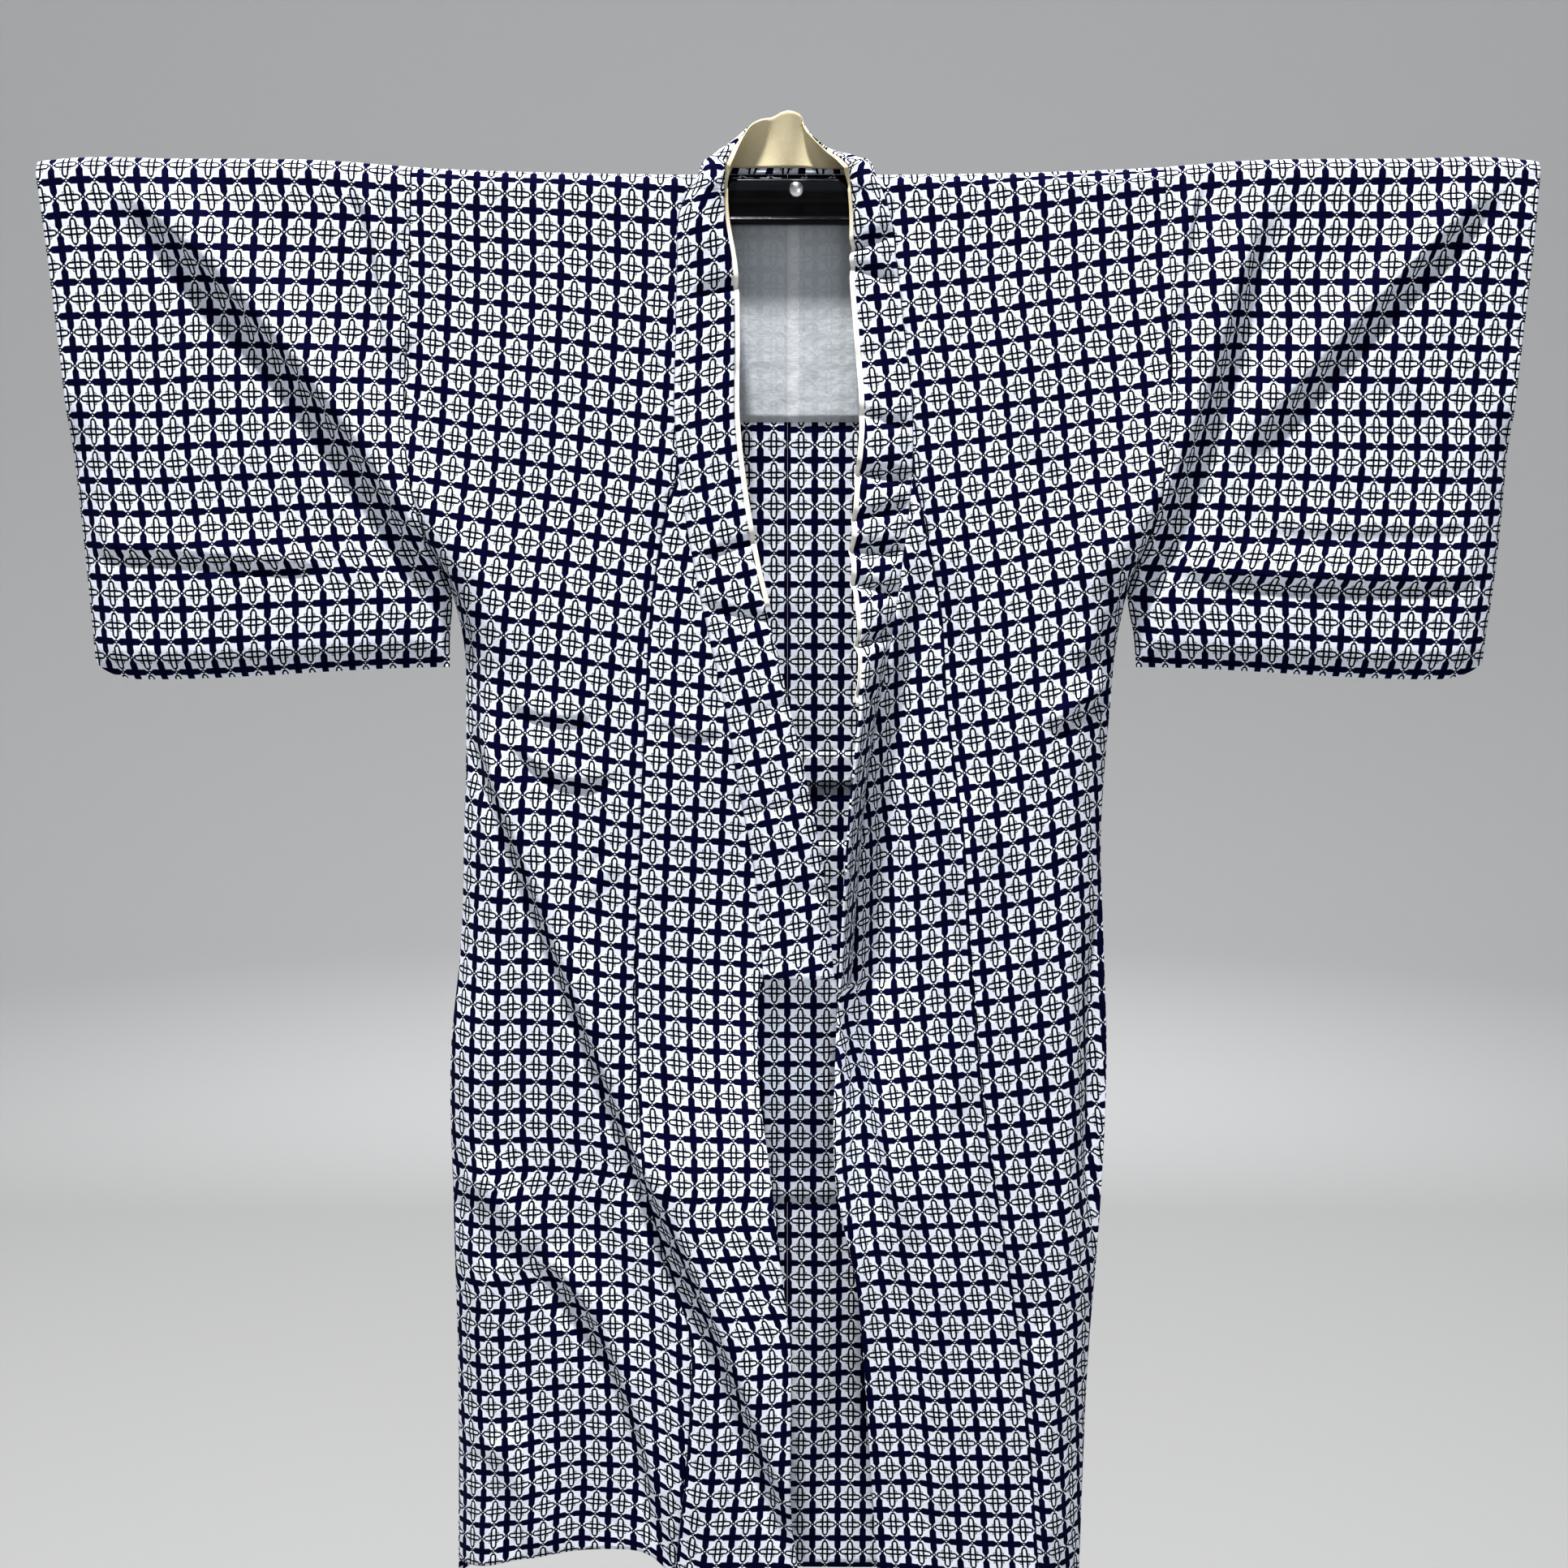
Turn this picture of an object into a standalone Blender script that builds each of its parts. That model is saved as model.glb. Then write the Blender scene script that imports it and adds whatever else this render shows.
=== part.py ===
"""Cotton yukata robe, men's cut, hung open on a straight kimono hanger bar.

Metres. +X is to the viewer's right, -Y comes towards the viewer, +Z is up.
The origin is the centre of the hanger bar, where the robe is held up.
"""

import math
from collections import namedtuple

import bpy
import numpy as np

# Cloth and sewing
WALL = 0.0018
COLLAR_WALL = 0.0030
LINING_WALL = 0.0012
SEAM_GAP = 0.0003
PINCH = 0.0023          # half depth where front and back are sewn together

# Cut of the robe, on the hanger
TOP_ROUND = 0.0145      # outer radius of the cloth over the bar
NECK_HALF = 0.0806      # centre back to the shoulder point of the collar seam
NECK_LEVEL = 0.0235     # top of the cloth at the neck
NECK_BACK_RISE = 0.0255 # height of the back neckline at the centre
HEM_LEVEL = -1.345
HEM_LIFT = 0.024        # the left front hem is drawn up by its folds
HEM_LIFT_X = -0.190
HEM_LIFT_WIDTH = 0.062
WRIST_SEAM_TOP = -0.205 # below this the wrist edge of a sleeve is sewn shut
UNDERARM = -0.358       # below this sleeve and body hang apart
OKUMI_TIP_WIDTH = 0.0012
OKUMI_CURL = 0.016      # the right overlap panel's inner edge turns forward
OKUMI_CURL_WIDTH = 0.012
ARMHOLE_X = 0.345       # middle of the armhole seam
SLEEVE_WIDTH = 0.338
SLEEVE_BOTTOM = -0.4285
SLEEVE_BOTTOM_FALL = 0.0115
CORNER_RUN = 0.045      # rounded lower corner at the wrist
CORNER_RISE = 0.022
WRIST_HALF_DEPTH = 0.0125
COLLAR_LAP = 0.0006     # the collar lies this far in front of the panels
COLLAR_PROUD = 0.0023   # and more where it rounds the bar

# Linings and tucks inside the back
LINING_HALF = 0.262     # they end short of the side seams
LINING_GAP = 0.0009
TUCK_WALL = 0.0032
SHOULDER_LINING_SHARE = 0.5685  # it ends this far down to the underarm
TUCK_TOP = -0.512
TUCK_EDGE = -0.546
SEAT_LINING_TOP = -0.600
SEAT_LINING_END = -0.966
COLLAR_LINING_LEFT_END = -0.372
COLLAR_LINING_RIGHT_END = -0.460
TRIM_REACH = 0.0016     # the collar lining shows past the collar's free edge
TRIM_WALL = 0.0010
TRIM_GAP = 0.0011

# Hanger
BAR_HALF = 0.185
HOUSING_FACE = 0.0088   # half depth of the housing
HOUSING_STEP = 0.0066   # half depth where its front is stepped in
HOUSING_TOP = 0.0204
HOUSING_FOOT = 0.0217
ARM_HEIGHT = 0.021
ARM_HALF_DEPTH = 0.006
ARM_EDGE = 0.0038
ARM_END = 0.660
ARM_TOP_START = 0.0203
ARM_TOP_END = 0.0350
STUD_RADIUS = 0.0072
STUD_HEIGHT = 0.0040
STUD_X = 0.0079
STUD_Z = 0.0094

TopRow = namedtuple("TopRow", "x z")
TOP_LINE = (
    TopRow(0.000, 0.0235),
    TopRow(0.085, 0.0235),
    TopRow(0.200, 0.0252),
    TopRow(0.345, 0.0305),
    TopRow(0.420, 0.0360),
    TopRow(0.560, 0.0378),
    TopRow(0.650, 0.0385),
    TopRow(0.690, 0.0350),
)

DepthRow = namedtuple("DepthRow", "z body sleeve")
HALF_DEPTH = (
    DepthRow(0.010, 0.0145, 0.0145),
    DepthRow(-0.060, 0.0155, 0.0148),
    DepthRow(-0.200, 0.0190, 0.0155),
    DepthRow(-0.400, 0.0240, 0.0150),
    DepthRow(-0.700, 0.0270, 0.0150),
    DepthRow(-1.000, 0.0290, 0.0150),
    DepthRow(-1.350, 0.0310, 0.0150),
)

# Side line of the body: armhole seam down to the underarm, then side seam
SideRow = namedtuple("SideRow", "z left right")
SIDE_LINE = (
    SideRow(0.030, -0.3415, 0.3425),
    SideRow(-0.040, -0.3450, 0.3480),
    SideRow(-0.120, -0.3500, 0.3515),
    SideRow(-0.220, -0.3525, 0.3505),
    SideRow(-0.300, -0.3380, 0.3390),
    SideRow(-0.358, -0.3160, 0.3200),
    SideRow(-0.400, -0.3065, 0.3115),
    SideRow(-0.470, -0.3050, 0.3060),
    SideRow(-0.590, -0.3098, 0.3003),
    SideRow(-0.700, -0.3155, 0.3055),
    SideRow(-0.800, -0.3270, 0.3105),
    SideRow(-0.960, -0.3283, 0.3078),
    SideRow(-1.110, -0.3275, 0.2995),
    SideRow(-1.350, -0.3320, 0.2945),
)

# Inner end of each sleeve below the underarm, and its wrist end
SleeveRow = namedtuple("SleeveRow", "z inner_left inner_right wrist_left wrist_right")
SLEEVE_ENDS = (
    SleeveRow(0.035, -0.3415, 0.3425, -0.6852, 0.6855),
    SleeveRow(-0.040, -0.3450, 0.3480, -0.6780, 0.6825),
    SleeveRow(-0.120, -0.3500, 0.3515, -0.6720, 0.6770),
    SleeveRow(-0.220, -0.3525, 0.3505, -0.6655, 0.6708),
    SleeveRow(-0.300, -0.3380, 0.3390, -0.6605, 0.6675),
    SleeveRow(-0.358, -0.3163, 0.3203, -0.6575, 0.6635),
    SleeveRow(-0.400, -0.3190, 0.3272, -0.6555, 0.6590),
    SleeveRow(-0.440, -0.3200, 0.3310, -0.6535, 0.6560),
)

# Collar: seam edge and free edge, and how far the free edge stands forward
CollarRow = namedtuple(
    "CollarRow", "z seam_left free_left seam_right free_right stand_left stand_right")
COLLAR_LINE = (
    CollarRow(0.0235, -0.0806, -0.0570, 0.0800, 0.0560, 0.004, 0.004),
    CollarRow(-0.0100, -0.0975, -0.0570, 0.0925, 0.0592, 0.004, 0.004),
    CollarRow(-0.0600, -0.1008, -0.0500, 0.1000, 0.0605, 0.002, 0.003),
    CollarRow(-0.1200, -0.1025, -0.0485, 0.1070, 0.0655, 0.001, 0.004),
    CollarRow(-0.2000, -0.1038, -0.0485, 0.1155, 0.0710, 0.001, 0.010),
    CollarRow(-0.2600, -0.0985, -0.0420, 0.1145, 0.0670, 0.001, 0.016),
    CollarRow(-0.3300, -0.0875, -0.0300, 0.1065, 0.0640, 0.001, 0.022),
    CollarRow(-0.4000, -0.0730, -0.0130, 0.0965, 0.0700, 0.001, 0.030),
    CollarRow(-0.4600, -0.0595, 0.0010, 0.0850, 0.0672, 0.001, 0.038),
    CollarRow(-0.5400, -0.0460, 0.0195, 0.0735, 0.0590, 0.002, 0.042),
    CollarRow(-0.6200, -0.0314, 0.0340, 0.0670, 0.0540, 0.003, 0.042),
    CollarRow(-0.7300, -0.0225, 0.0455, 0.0600, 0.0485, 0.004, 0.038),
)

# Round the back of the neck, from the left shoulder point to the right one
NeckRow = namedtuple("NeckRow", "seam_x free_x free_y free_z bulge")
NECK_LINE = (
    NeckRow(-0.0800, -0.0560, -0.0200, 0.0330, 0.0100),
    NeckRow(-0.0700, -0.0500, -0.0100, 0.0480, 0.0090),
    NeckRow(-0.0560, -0.0410, 0.0000, 0.0620, 0.0070),
    NeckRow(-0.0360, -0.0280, 0.0080, 0.0695, 0.0040),
    NeckRow(-0.0140, -0.0120, 0.0120, 0.0720, 0.0020),
    NeckRow(0.0000, 0.0000, 0.0130, 0.0765, 0.0020),
    NeckRow(0.0140, 0.0120, 0.0120, 0.0730, 0.0020),
    NeckRow(0.0360, 0.0220, 0.0080, 0.0600, 0.0040),
    NeckRow(0.0560, 0.0390, 0.0000, 0.0460, 0.0070),
    NeckRow(0.0700, 0.0490, -0.0100, 0.0385, 0.0090),
    NeckRow(0.0795, 0.0550, -0.0200, 0.0310, 0.0100),
)

# Seam between body and overlap panel, and the free front edge
OkumiRow = namedtuple("OkumiRow", "z left right")
OKUMI_SEAM = (
    OkumiRow(-0.250, -0.1050, 0.1185),
    OkumiRow(-0.300, -0.1165, 0.1290),
    OkumiRow(-0.370, -0.1275, 0.1430),
    OkumiRow(-0.460, -0.1334, 0.1500),
    OkumiRow(-0.570, -0.1390, 0.1650),
    OkumiRow(-0.750, -0.1455, 0.1785),
    OkumiRow(-0.850, -0.1425, 0.1890),
    OkumiRow(-0.950, -0.1340, 0.2045),
    OkumiRow(-1.020, -0.1150, 0.2170),
    OkumiRow(-1.090, -0.0950, 0.2280),
    OkumiRow(-1.160, -0.0960, 0.2360),
    OkumiRow(-1.350, -0.1140, 0.2520),
)
EdgeRow = namedtuple("EdgeRow", "z left right")
FRONT_EDGE = (
    EdgeRow(-0.735, -0.0280, 0.0480),
    EdgeRow(-0.810, -0.0285, 0.0450),
    EdgeRow(-0.930, -0.0150, 0.0470),
    EdgeRow(-1.030, -0.0040, 0.0670),
    EdgeRow(-1.090, 0.0030, 0.0730),
    EdgeRow(-1.190, 0.0033, 0.0800),
    EdgeRow(-1.270, 0.0045, 0.0856),
    EdgeRow(-1.350, 0.0135, 0.0910),
)

# A fold runs from point 0 through point 1 to point 2. Its steep side has the
# width near, its gentle side the width far; dip is the trough at its foot.
# The gentle side lies on the right of a line that runs down.
Fold = namedtuple("Fold", "x0 z0 x1 z1 x2 z2 near far height dip")
FRONT_FOLDS = (
    # left sleeve, wrist end of the bar down to the underarm and on to the body
    Fold(-0.625, 0.030, -0.440, -0.172, -0.255, -0.470, 0.013, 0.034, 0.0100, 0.0050),
    Fold(-0.655, -0.325, -0.540, -0.330, -0.425, -0.336, 0.008, 0.020, 0.0020, 0.0012),
    # left body, side seam to the front edge at the hem
    Fold(-0.306, -0.445, -0.222, -0.735, -0.142, -0.955, 0.010, 0.036, 0.0085, 0.0030),
    Fold(-0.158, -0.925, -0.084, -1.060, 0.004, -1.330, 0.011, 0.042, 0.0120, 0.0050),
    Fold(-0.262, -1.010, -0.198, -1.110, -0.128, -1.345, 0.013, 0.034, 0.0085, 0.0040),
    # waist puckers on the left
    Fold(-0.262, -0.478, -0.195, -0.520, -0.120, -0.505, 0.009, 0.016, 0.0040, 0.0025),
    # soft folds down from the shoulders beside the collar
    Fold(-0.128, 0.000, -0.118, -0.140, -0.134, -0.330, 0.012, 0.022, 0.0035, 0.0010),
    Fold(0.112, 0.000, 0.128, -0.180, 0.160, -0.420, 0.016, 0.022, 0.0060, 0.0010),
    # right sleeve, bar down to the underarm; wrist end of the bar inwards
    Fold(0.318, -0.372, 0.386, -0.190, 0.438, 0.022, 0.015, 0.034, 0.0100, 0.0050),
    Fold(0.480, -0.190, 0.560, -0.085, 0.660, 0.018, 0.011, 0.026, 0.0060, 0.0035),
    Fold(0.655, -0.358, 0.520, -0.364, 0.385, -0.352, 0.010, 0.020, 0.0022, 0.0014),
    # right body, beside the side seam and down the overlap panel's seam
    Fold(0.252, -0.450, 0.290, -0.420, 0.310, -0.395, 0.008, 0.016, 0.0040, 0.0015),
    Fold(0.163, -0.520, 0.182, -0.760, 0.246, -1.180, 0.012, 0.030, 0.0050, 0.0020),
    Fold(0.098, -0.700, 0.112, -0.860, 0.126, -1.100, 0.012, 0.020, 0.0035, 0.0015),
)
BACK_FOLDS = (
    Fold(-0.600, 0.020, -0.430, -0.180, -0.290, -0.430, 0.014, 0.034, 0.0080, 0.0040),
    Fold(0.300, -0.420, 0.420, -0.190, 0.590, 0.020, 0.014, 0.034, 0.0080, 0.0040),
    Fold(-0.215, -0.020, -0.190, -0.500, -0.230, -1.250, 0.022, 0.040, 0.0060, 0.0030),
    Fold(0.130, -0.240, 0.165, -0.700, 0.140, -1.345, 0.022, 0.040, 0.0060, 0.0030),
    Fold(-0.060, -0.600, -0.040, -0.950, -0.075, -1.345, 0.020, 0.034, 0.0045, 0.0020),
)

# On the right the front is folded in short of the side seam, over this height
SIDE_TURN_WIDTH = 0.019
SIDE_TURN_LEVEL = -0.830
SIDE_TURN_SPAN = 0.150

# Rows of the panels, as shares of the way down. Neighbours share their rows,
# so that their seams run side by side.
ARM_SHARES = (
    0.0, 0.09, 0.19, 0.29, 0.39, 0.48, SHOULDER_LINING_SHARE, 0.66, 0.76, 0.88, 1.0)
TIP_SHARE = 0.66        # row where the overlap panel begins
BACK_LEVELS = (
    -0.410, -0.460, TUCK_TOP, TUCK_EDGE, SEAT_LINING_TOP, -0.660, -0.720, -0.780,
    -0.840, -0.900, SEAT_LINING_END, -1.030, -1.095, -1.160, -1.225, -1.285)
FRONT_LEVELS = (
    -0.385, -0.415, -0.445, -0.475, -0.505, -0.540, -0.580, -0.620, -0.660, -0.695,
    -0.724, -0.738, -0.770, -0.810, -0.850, -0.890, -0.930, -0.965, -1.000, -1.035,
    -1.070, -1.105, -1.140, -1.180, -1.220, -1.260, -1.300)
COLLAR_LAST_LEVEL = -0.724
ROUND_TURNS = (0.6, 0.3, 0.0, -0.3, -0.6)

BODY_COLUMNS = 8
NECK_COLUMNS = 5
BODY_EDGE_RUN = 0.045
SLEEVE_COLUMNS = 10
SLEEVE_EDGE_RUN = 0.040
OKUMI_COLUMNS = 4
COLLAR_COLUMNS = 4

COTTON_NAVY = (0.20, 0.22, 0.36, 1.0)
CREAM = (0.80, 0.74, 0.58, 1.0)
WHITE_COTTON = (0.86, 0.88, 0.90, 1.0)
BLACK_GLOSS = (0.012, 0.012, 0.015, 1.0)
SILVER = (0.72, 0.74, 0.78, 1.0)


def smooth_line(value, table, column, key="z"):
    """Cubic Hermite curve through a table's rows, read at the given values."""
    knots = np.array([getattr(row, key) for row in table])
    heights = np.array([getattr(row, column) for row in table])
    if knots[0] > knots[-1]:
        knots, heights = knots[::-1], heights[::-1]
    slopes = np.gradient(heights, knots)
    value = np.clip(np.asarray(value, float), knots[0], knots[-1])
    cell = np.clip(np.searchsorted(knots, value) - 1, 0, len(knots) - 2)
    span = knots[cell + 1] - knots[cell]
    t = (value - knots[cell]) / span
    return (
        (2 * t**3 - 3 * t**2 + 1) * heights[cell]
        + (t**3 - 2 * t**2 + t) * span * slopes[cell]
        + (3 * t**2 - 2 * t**3) * heights[cell + 1]
        + (t**3 - t**2) * span * slopes[cell + 1]
    )


def ease(value):
    """0 below 0, 1 above 1, and a smooth rise between."""
    t = np.clip(value, 0.0, 1.0)
    return t * t * (3 - 2 * t)


def plump(value):
    """Quick rise from 0 that rounds off at 1."""
    return 1 - (1 - np.clip(value, 0.0, 1.0)) ** 2


def top_level(x):
    """Height of the cloth's fold over the bar and its arms."""
    return smooth_line(np.abs(x), TOP_LINE, "z", key="x")


def fold_height(x, z, folds):
    """Sum of the folds' profiles, each across its distance from its own curve."""
    x, z = np.broadcast_arrays(np.asarray(x, float), np.asarray(z, float))
    total = np.zeros(x.shape)
    steps = np.linspace(0.0, 1.0, 13)
    for fold in folds:
        bend_x = 2 * fold.x1 - 0.5 * (fold.x0 + fold.x2)
        bend_z = 2 * fold.z1 - 0.5 * (fold.z0 + fold.z2)
        line_x = (1 - steps) ** 2 * fold.x0 + 2 * steps * (1 - steps) * bend_x + steps**2 * fold.x2
        line_z = (1 - steps) ** 2 * fold.z0 + 2 * steps * (1 - steps) * bend_z + steps**2 * fold.z2
        nearest = np.full(x.shape, np.inf)
        side = np.zeros(x.shape)
        place = np.zeros(x.shape)
        for i in range(len(steps) - 1):
            run_x = line_x[i + 1] - line_x[i]
            run_z = line_z[i + 1] - line_z[i]
            length = math.hypot(run_x, run_z)
            along = ((x - line_x[i]) * run_x + (z - line_z[i]) * run_z) / length**2
            held = np.clip(along, 0.0, 1.0)
            gap = np.hypot(x - line_x[i] - held * run_x, z - line_z[i] - held * run_z)
            cross = (run_x * (z - line_z[i]) - run_z * (x - line_x[i])) / length
            closer = gap < nearest
            nearest = np.where(closer, gap, nearest)
            side = np.where(closer, cross, side)
            place = np.where(closer, (i + held) / (len(steps) - 1), place)
        distance = np.where(side >= 0, nearest, -nearest)
        width = np.where(side >= 0, fold.far, fold.near)
        crest = fold.height * np.exp(-((distance / width) ** 2))
        foot = fold.dip * np.exp(-(((distance + 2.1 * fold.near) / fold.near) ** 2))
        fade = ease(place / 0.22) * ease((1 - place) / 0.22)
        total += fade * (crest - foot)
    return total


def side_line(z, side):
    """X of the body's armhole seam and side seam."""
    return smooth_line(z, SIDE_LINE, "left" if side < 0 else "right")


def seam_depth(z):
    """Half depth along the armhole seam, closing at the underarm and below."""
    return PINCH + (TOP_ROUND - PINCH) * ease((z - UNDERARM) / 0.100)


def body_depth(x, z, front):
    """Half depth of the body's front or back wall."""
    middle = smooth_line(z, HALF_DEPTH, "body")
    side = np.where(x < 0, -1, 1)
    edge = np.where(side < 0, side_line(z, -1), side_line(z, 1))
    inward = np.abs(edge) - np.abs(x)
    turn = SIDE_TURN_WIDTH * np.exp(-(((z - SIDE_TURN_LEVEL) / SIDE_TURN_SPAN) ** 4))
    turned = np.where((side > 0) & front, turn, 0.0)
    run = BODY_EDGE_RUN - 1.2 * turned
    rise = plump((inward - turned) / run)
    return seam_depth(z) + (middle - seam_depth(z)) * rise


def pair_offset(depth, x, z, front):
    """Outer face of a wall: its half depth and folds, never through the other wall."""
    drop = top_level(x) - z
    folds = fold_height(x, z, FRONT_FOLDS) if front else fold_height(x, z, BACK_FOLDS)
    room = np.clip((depth - PINCH) / 0.010, 0.0, 1.0)
    folds = np.maximum(folds * room * ease(drop / 0.045), -(depth - 0.0060) * room)
    folds = np.maximum(folds, -0.35 * depth)
    return -(depth + folds) if front else depth + folds


def front_face(x, z):
    """Y of the body's outer front face."""
    return pair_offset(body_depth(x, z, True), x, z, True)


def back_face(x, z):
    """Y of the body's outer back face."""
    return pair_offset(body_depth(x, z, False), x, z, False)


def over_the_bar(x, turn):
    """Y, Z and inward direction on the rounded top.

    Turn is 1 at the back of the bar, 0 on top and -1 in front. Behind the neck
    the cloth stands straight up to the collar seam instead.
    """
    angle = turn * math.pi / 2
    neck = 1 - ease((np.abs(x) - 0.058) / 0.024)
    behind = np.where(turn >= 0, neck, 0.0)
    y_round = TOP_ROUND * np.sin(angle)
    z_round = top_level(x) - TOP_ROUND * (1 - np.cos(angle))
    z_straight = top_level(x) - TOP_ROUND + (1 - turn) * (NECK_BACK_RISE - NECK_LEVEL + TOP_ROUND)
    y = y_round * (1 - behind) + TOP_ROUND * behind
    z = z_round * (1 - behind) + z_straight * behind
    in_y = -np.sin(angle) * (1 - behind) - behind
    in_z = -np.cos(angle) * (1 - behind)
    size = np.hypot(in_y, in_z)
    return y, z, in_y / size, in_z / size


def solid_from_grid(name, outer, inner, outward, material, present=None, loop=False):
    """Closed wall between a grid of outer points and its inner ones.

    Cells that are not present are left out, and a rim closes every free border.
    """
    rows = outer.shape[0]
    if present is None:
        present = np.ones(outer.shape[:2], bool)
    index = {}
    points = []

    def vertex(layer, r, c):
        key = (layer, r % rows, c)
        if key not in index:
            index[key] = len(points)
            grid = outer if layer == 0 else inner
            points.append(tuple(grid[r % rows, c]))
        return index[key]

    faces = []
    used = {}
    cell_rows = rows if loop else rows - 1
    for r in range(cell_rows):
        for c in range(outer.shape[1] - 1):
            if not present[r, c]:
                continue
            corners = [(r, c), (r + 1, c), (r + 1, c + 1), (r, c + 1)]
            top = [vertex(0, a, b) for a, b in corners]
            low = [vertex(1, a, b) for a, b in corners]
            for i, j, k in ((0, 1, 2), (0, 2, 3)):
                if outward < 0:
                    j, k = k, j
                faces.append([top[i], top[j], top[k]])
                faces.append([low[k], low[j], low[i]])
            ring = (0, 1, 2, 3) if outward > 0 else (3, 2, 1, 0)
            for i in range(4):
                a, b = ring[i], ring[(i + 1) % 4]
                used[(top[a], top[b])] = (low[a], low[b])
    for (a, b), (low_a, low_b) in used.items():
        if (b, a) not in used:
            faces.append([b, a, low_a, low_b])
    return add_mesh(name, points, faces, material)


def add_mesh(name, points, faces, material):
    """New object from points and faces, shaded smooth but for its sharp rims."""
    mesh = bpy.data.meshes.new(name)
    mesh.from_pydata([tuple(map(float, p)) for p in points], [], faces)
    mesh.materials.append(material)
    mesh.shade_smooth()
    mesh.set_sharp_from_angle(angle=math.radians(50))
    obj = bpy.data.objects.new(name, mesh)
    bpy.context.scene.collection.objects.link(obj)
    return obj


def make_material(name, colour, roughness, metallic=0.0):
    """Plain Principled material."""
    material = bpy.data.materials.new(name)
    material.use_nodes = True
    shader = material.node_tree.nodes["Principled BSDF"]
    shader.inputs["Base Color"].default_value = colour
    shader.inputs["Roughness"].default_value = roughness
    shader.inputs["Metallic"].default_value = metallic
    return material


def spaced(start, end, count):
    """Even fractions from start to end, both included."""
    return np.linspace(start, end, count)


def collar_seam(z, side):
    """X of the seam that joins the collar to the front."""
    return smooth_line(z, COLLAR_LINE, "seam_left" if side < 0 else "seam_right")


def okumi_seam(z, side):
    """X of the seam between body and overlap panel."""
    return smooth_line(z, OKUMI_SEAM, "left" if side < 0 else "right")


def hem_level(x, front):
    """Height of the hem."""
    lift = HEM_LIFT * np.exp(-(((x - HEM_LIFT_X) / HEM_LIFT_WIDTH) ** 2))
    return HEM_LEVEL + (lift if front else 0.0 * x)


def round_level(turn):
    """Height on the rounded top at the neck."""
    return NECK_LEVEL - TOP_ROUND * (1 - math.cos(turn * math.pi / 2))


def row_height(x, row, front):
    """Height of a row at x. A row is a share down to the underarm, or a level below it."""
    if row >= 0:
        quarter = top_level(x) - TOP_ROUND
        return quarter + (UNDERARM - quarter) * row
    drop = (UNDERARM - row) / (UNDERARM - HEM_LEVEL)
    return UNDERARM + (hem_level(x, front) - UNDERARM) * drop


def front_rows():
    """Rows of the front, from the bar down to the hem."""
    return list(ARM_SHARES) + list(FRONT_LEVELS) + [HEM_LEVEL]


def back_rows():
    """Rows of the back, from the bar down to the hem."""
    return list(ARM_SHARES) + list(BACK_LEVELS) + [HEM_LEVEL]


def has_okumi(row):
    """Whether the overlap panel reaches this row of the front."""
    return row < 0 or row >= TIP_SHARE


def has_collar(row):
    """Whether the collar reaches this row of the front."""
    return row >= COLLAR_LAST_LEVEL


def collar_edge(row, side):
    """Point on the collar seam in a row of the front."""
    z = row_height(side * 0.5 * NECK_HALF, row, True)
    for _ in range(3):
        x = collar_seam(z, side)
        z = row_height(x, row, True)
    return float(collar_seam(z, side))


def panel_seam(row, side):
    """X of the body's inner edge in a row: the collar seam, or the panel's seam below."""
    edge = collar_edge(row, side) if has_collar(row) else 0.0
    if not has_okumi(row):
        return edge
    if row == TIP_SHARE:
        return edge + side * OKUMI_TIP_WIDTH
    x = edge
    for _ in range(3):
        x = okumi_seam(row_height(x, row, True), side)
    return float(x)


def free_edge(row, side):
    """X of the overlap panel's inner edge in a row."""
    if has_collar(row):
        return collar_edge(row, side)
    column = "left" if side < 0 else "right"
    return float(smooth_line(row_height(0.0, row, True), FRONT_EDGE, column))


def body_points(side):
    """Outer points and inward directions of one body length.

    Rows run from the back hem over the bar to the front hem, columns from the
    centre back, or from the front's inner edge, out to the side.
    """
    share = spaced(0.0, 1.0, BODY_COLUMNS + 1)
    share = 0.55 * plump(share) + 0.45 * share
    neck_share = spaced(0.0, 1.0, NECK_COLUMNS + 1)[:-1]
    centre = side * SEAM_GAP / 2

    def across(inner, outer, start):
        return np.concatenate(
            [start + (inner - start) * neck_share, inner + (outer - inner) * share])

    def side_x(row, front):
        edge = side_line(row_height(side * ARMHOLE_X, row, front), side)
        return float(edge) - side * SEAM_GAP / 2

    points, inward = [], []

    def add(x, y, z, in_y, in_z):
        points.append(np.stack([x, y, z], axis=1))
        inward.append(np.stack([0 * x, in_y + 0 * x, in_z + 0 * x], axis=1))

    for row in back_rows()[::-1]:
        x = across(side * NECK_HALF, side_x(row, False), centre)
        z = row_height(x, row, False)
        add(x, back_face(x, z), z, -1.0, 0.0)
    for turn in ROUND_TURNS:
        inner = side * (NECK_HALF + SEAM_GAP / 2)
        if turn < 0:
            inner = collar_seam(round_level(turn), side) + side * SEAM_GAP / 2
        x = across(inner, side_x(0.0, True), centre)
        add(x, *over_the_bar(x, np.full(x.shape, turn)))
    for row in front_rows():
        inner = panel_seam(row, side) + side * SEAM_GAP / 2
        x = across(inner, side_x(row, True), 0.0)
        z = row_height(x, row, True)
        add(x, front_face(x, z), z, 1.0, 0.0)
    return np.array(points), np.array(inward)


def make_body(name, side, material):
    """One length of cloth: back hem, over the bar, front hem."""
    points, inward = body_points(side)
    present = np.ones(points.shape[:2], bool)
    first_front = len(back_rows()) + ROUND_TURNS.index(0.0)
    present[first_front:, :NECK_COLUMNS] = False
    inner = points + inward * WALL
    return solid_from_grid(name, points, inner, side, material, present)


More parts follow.
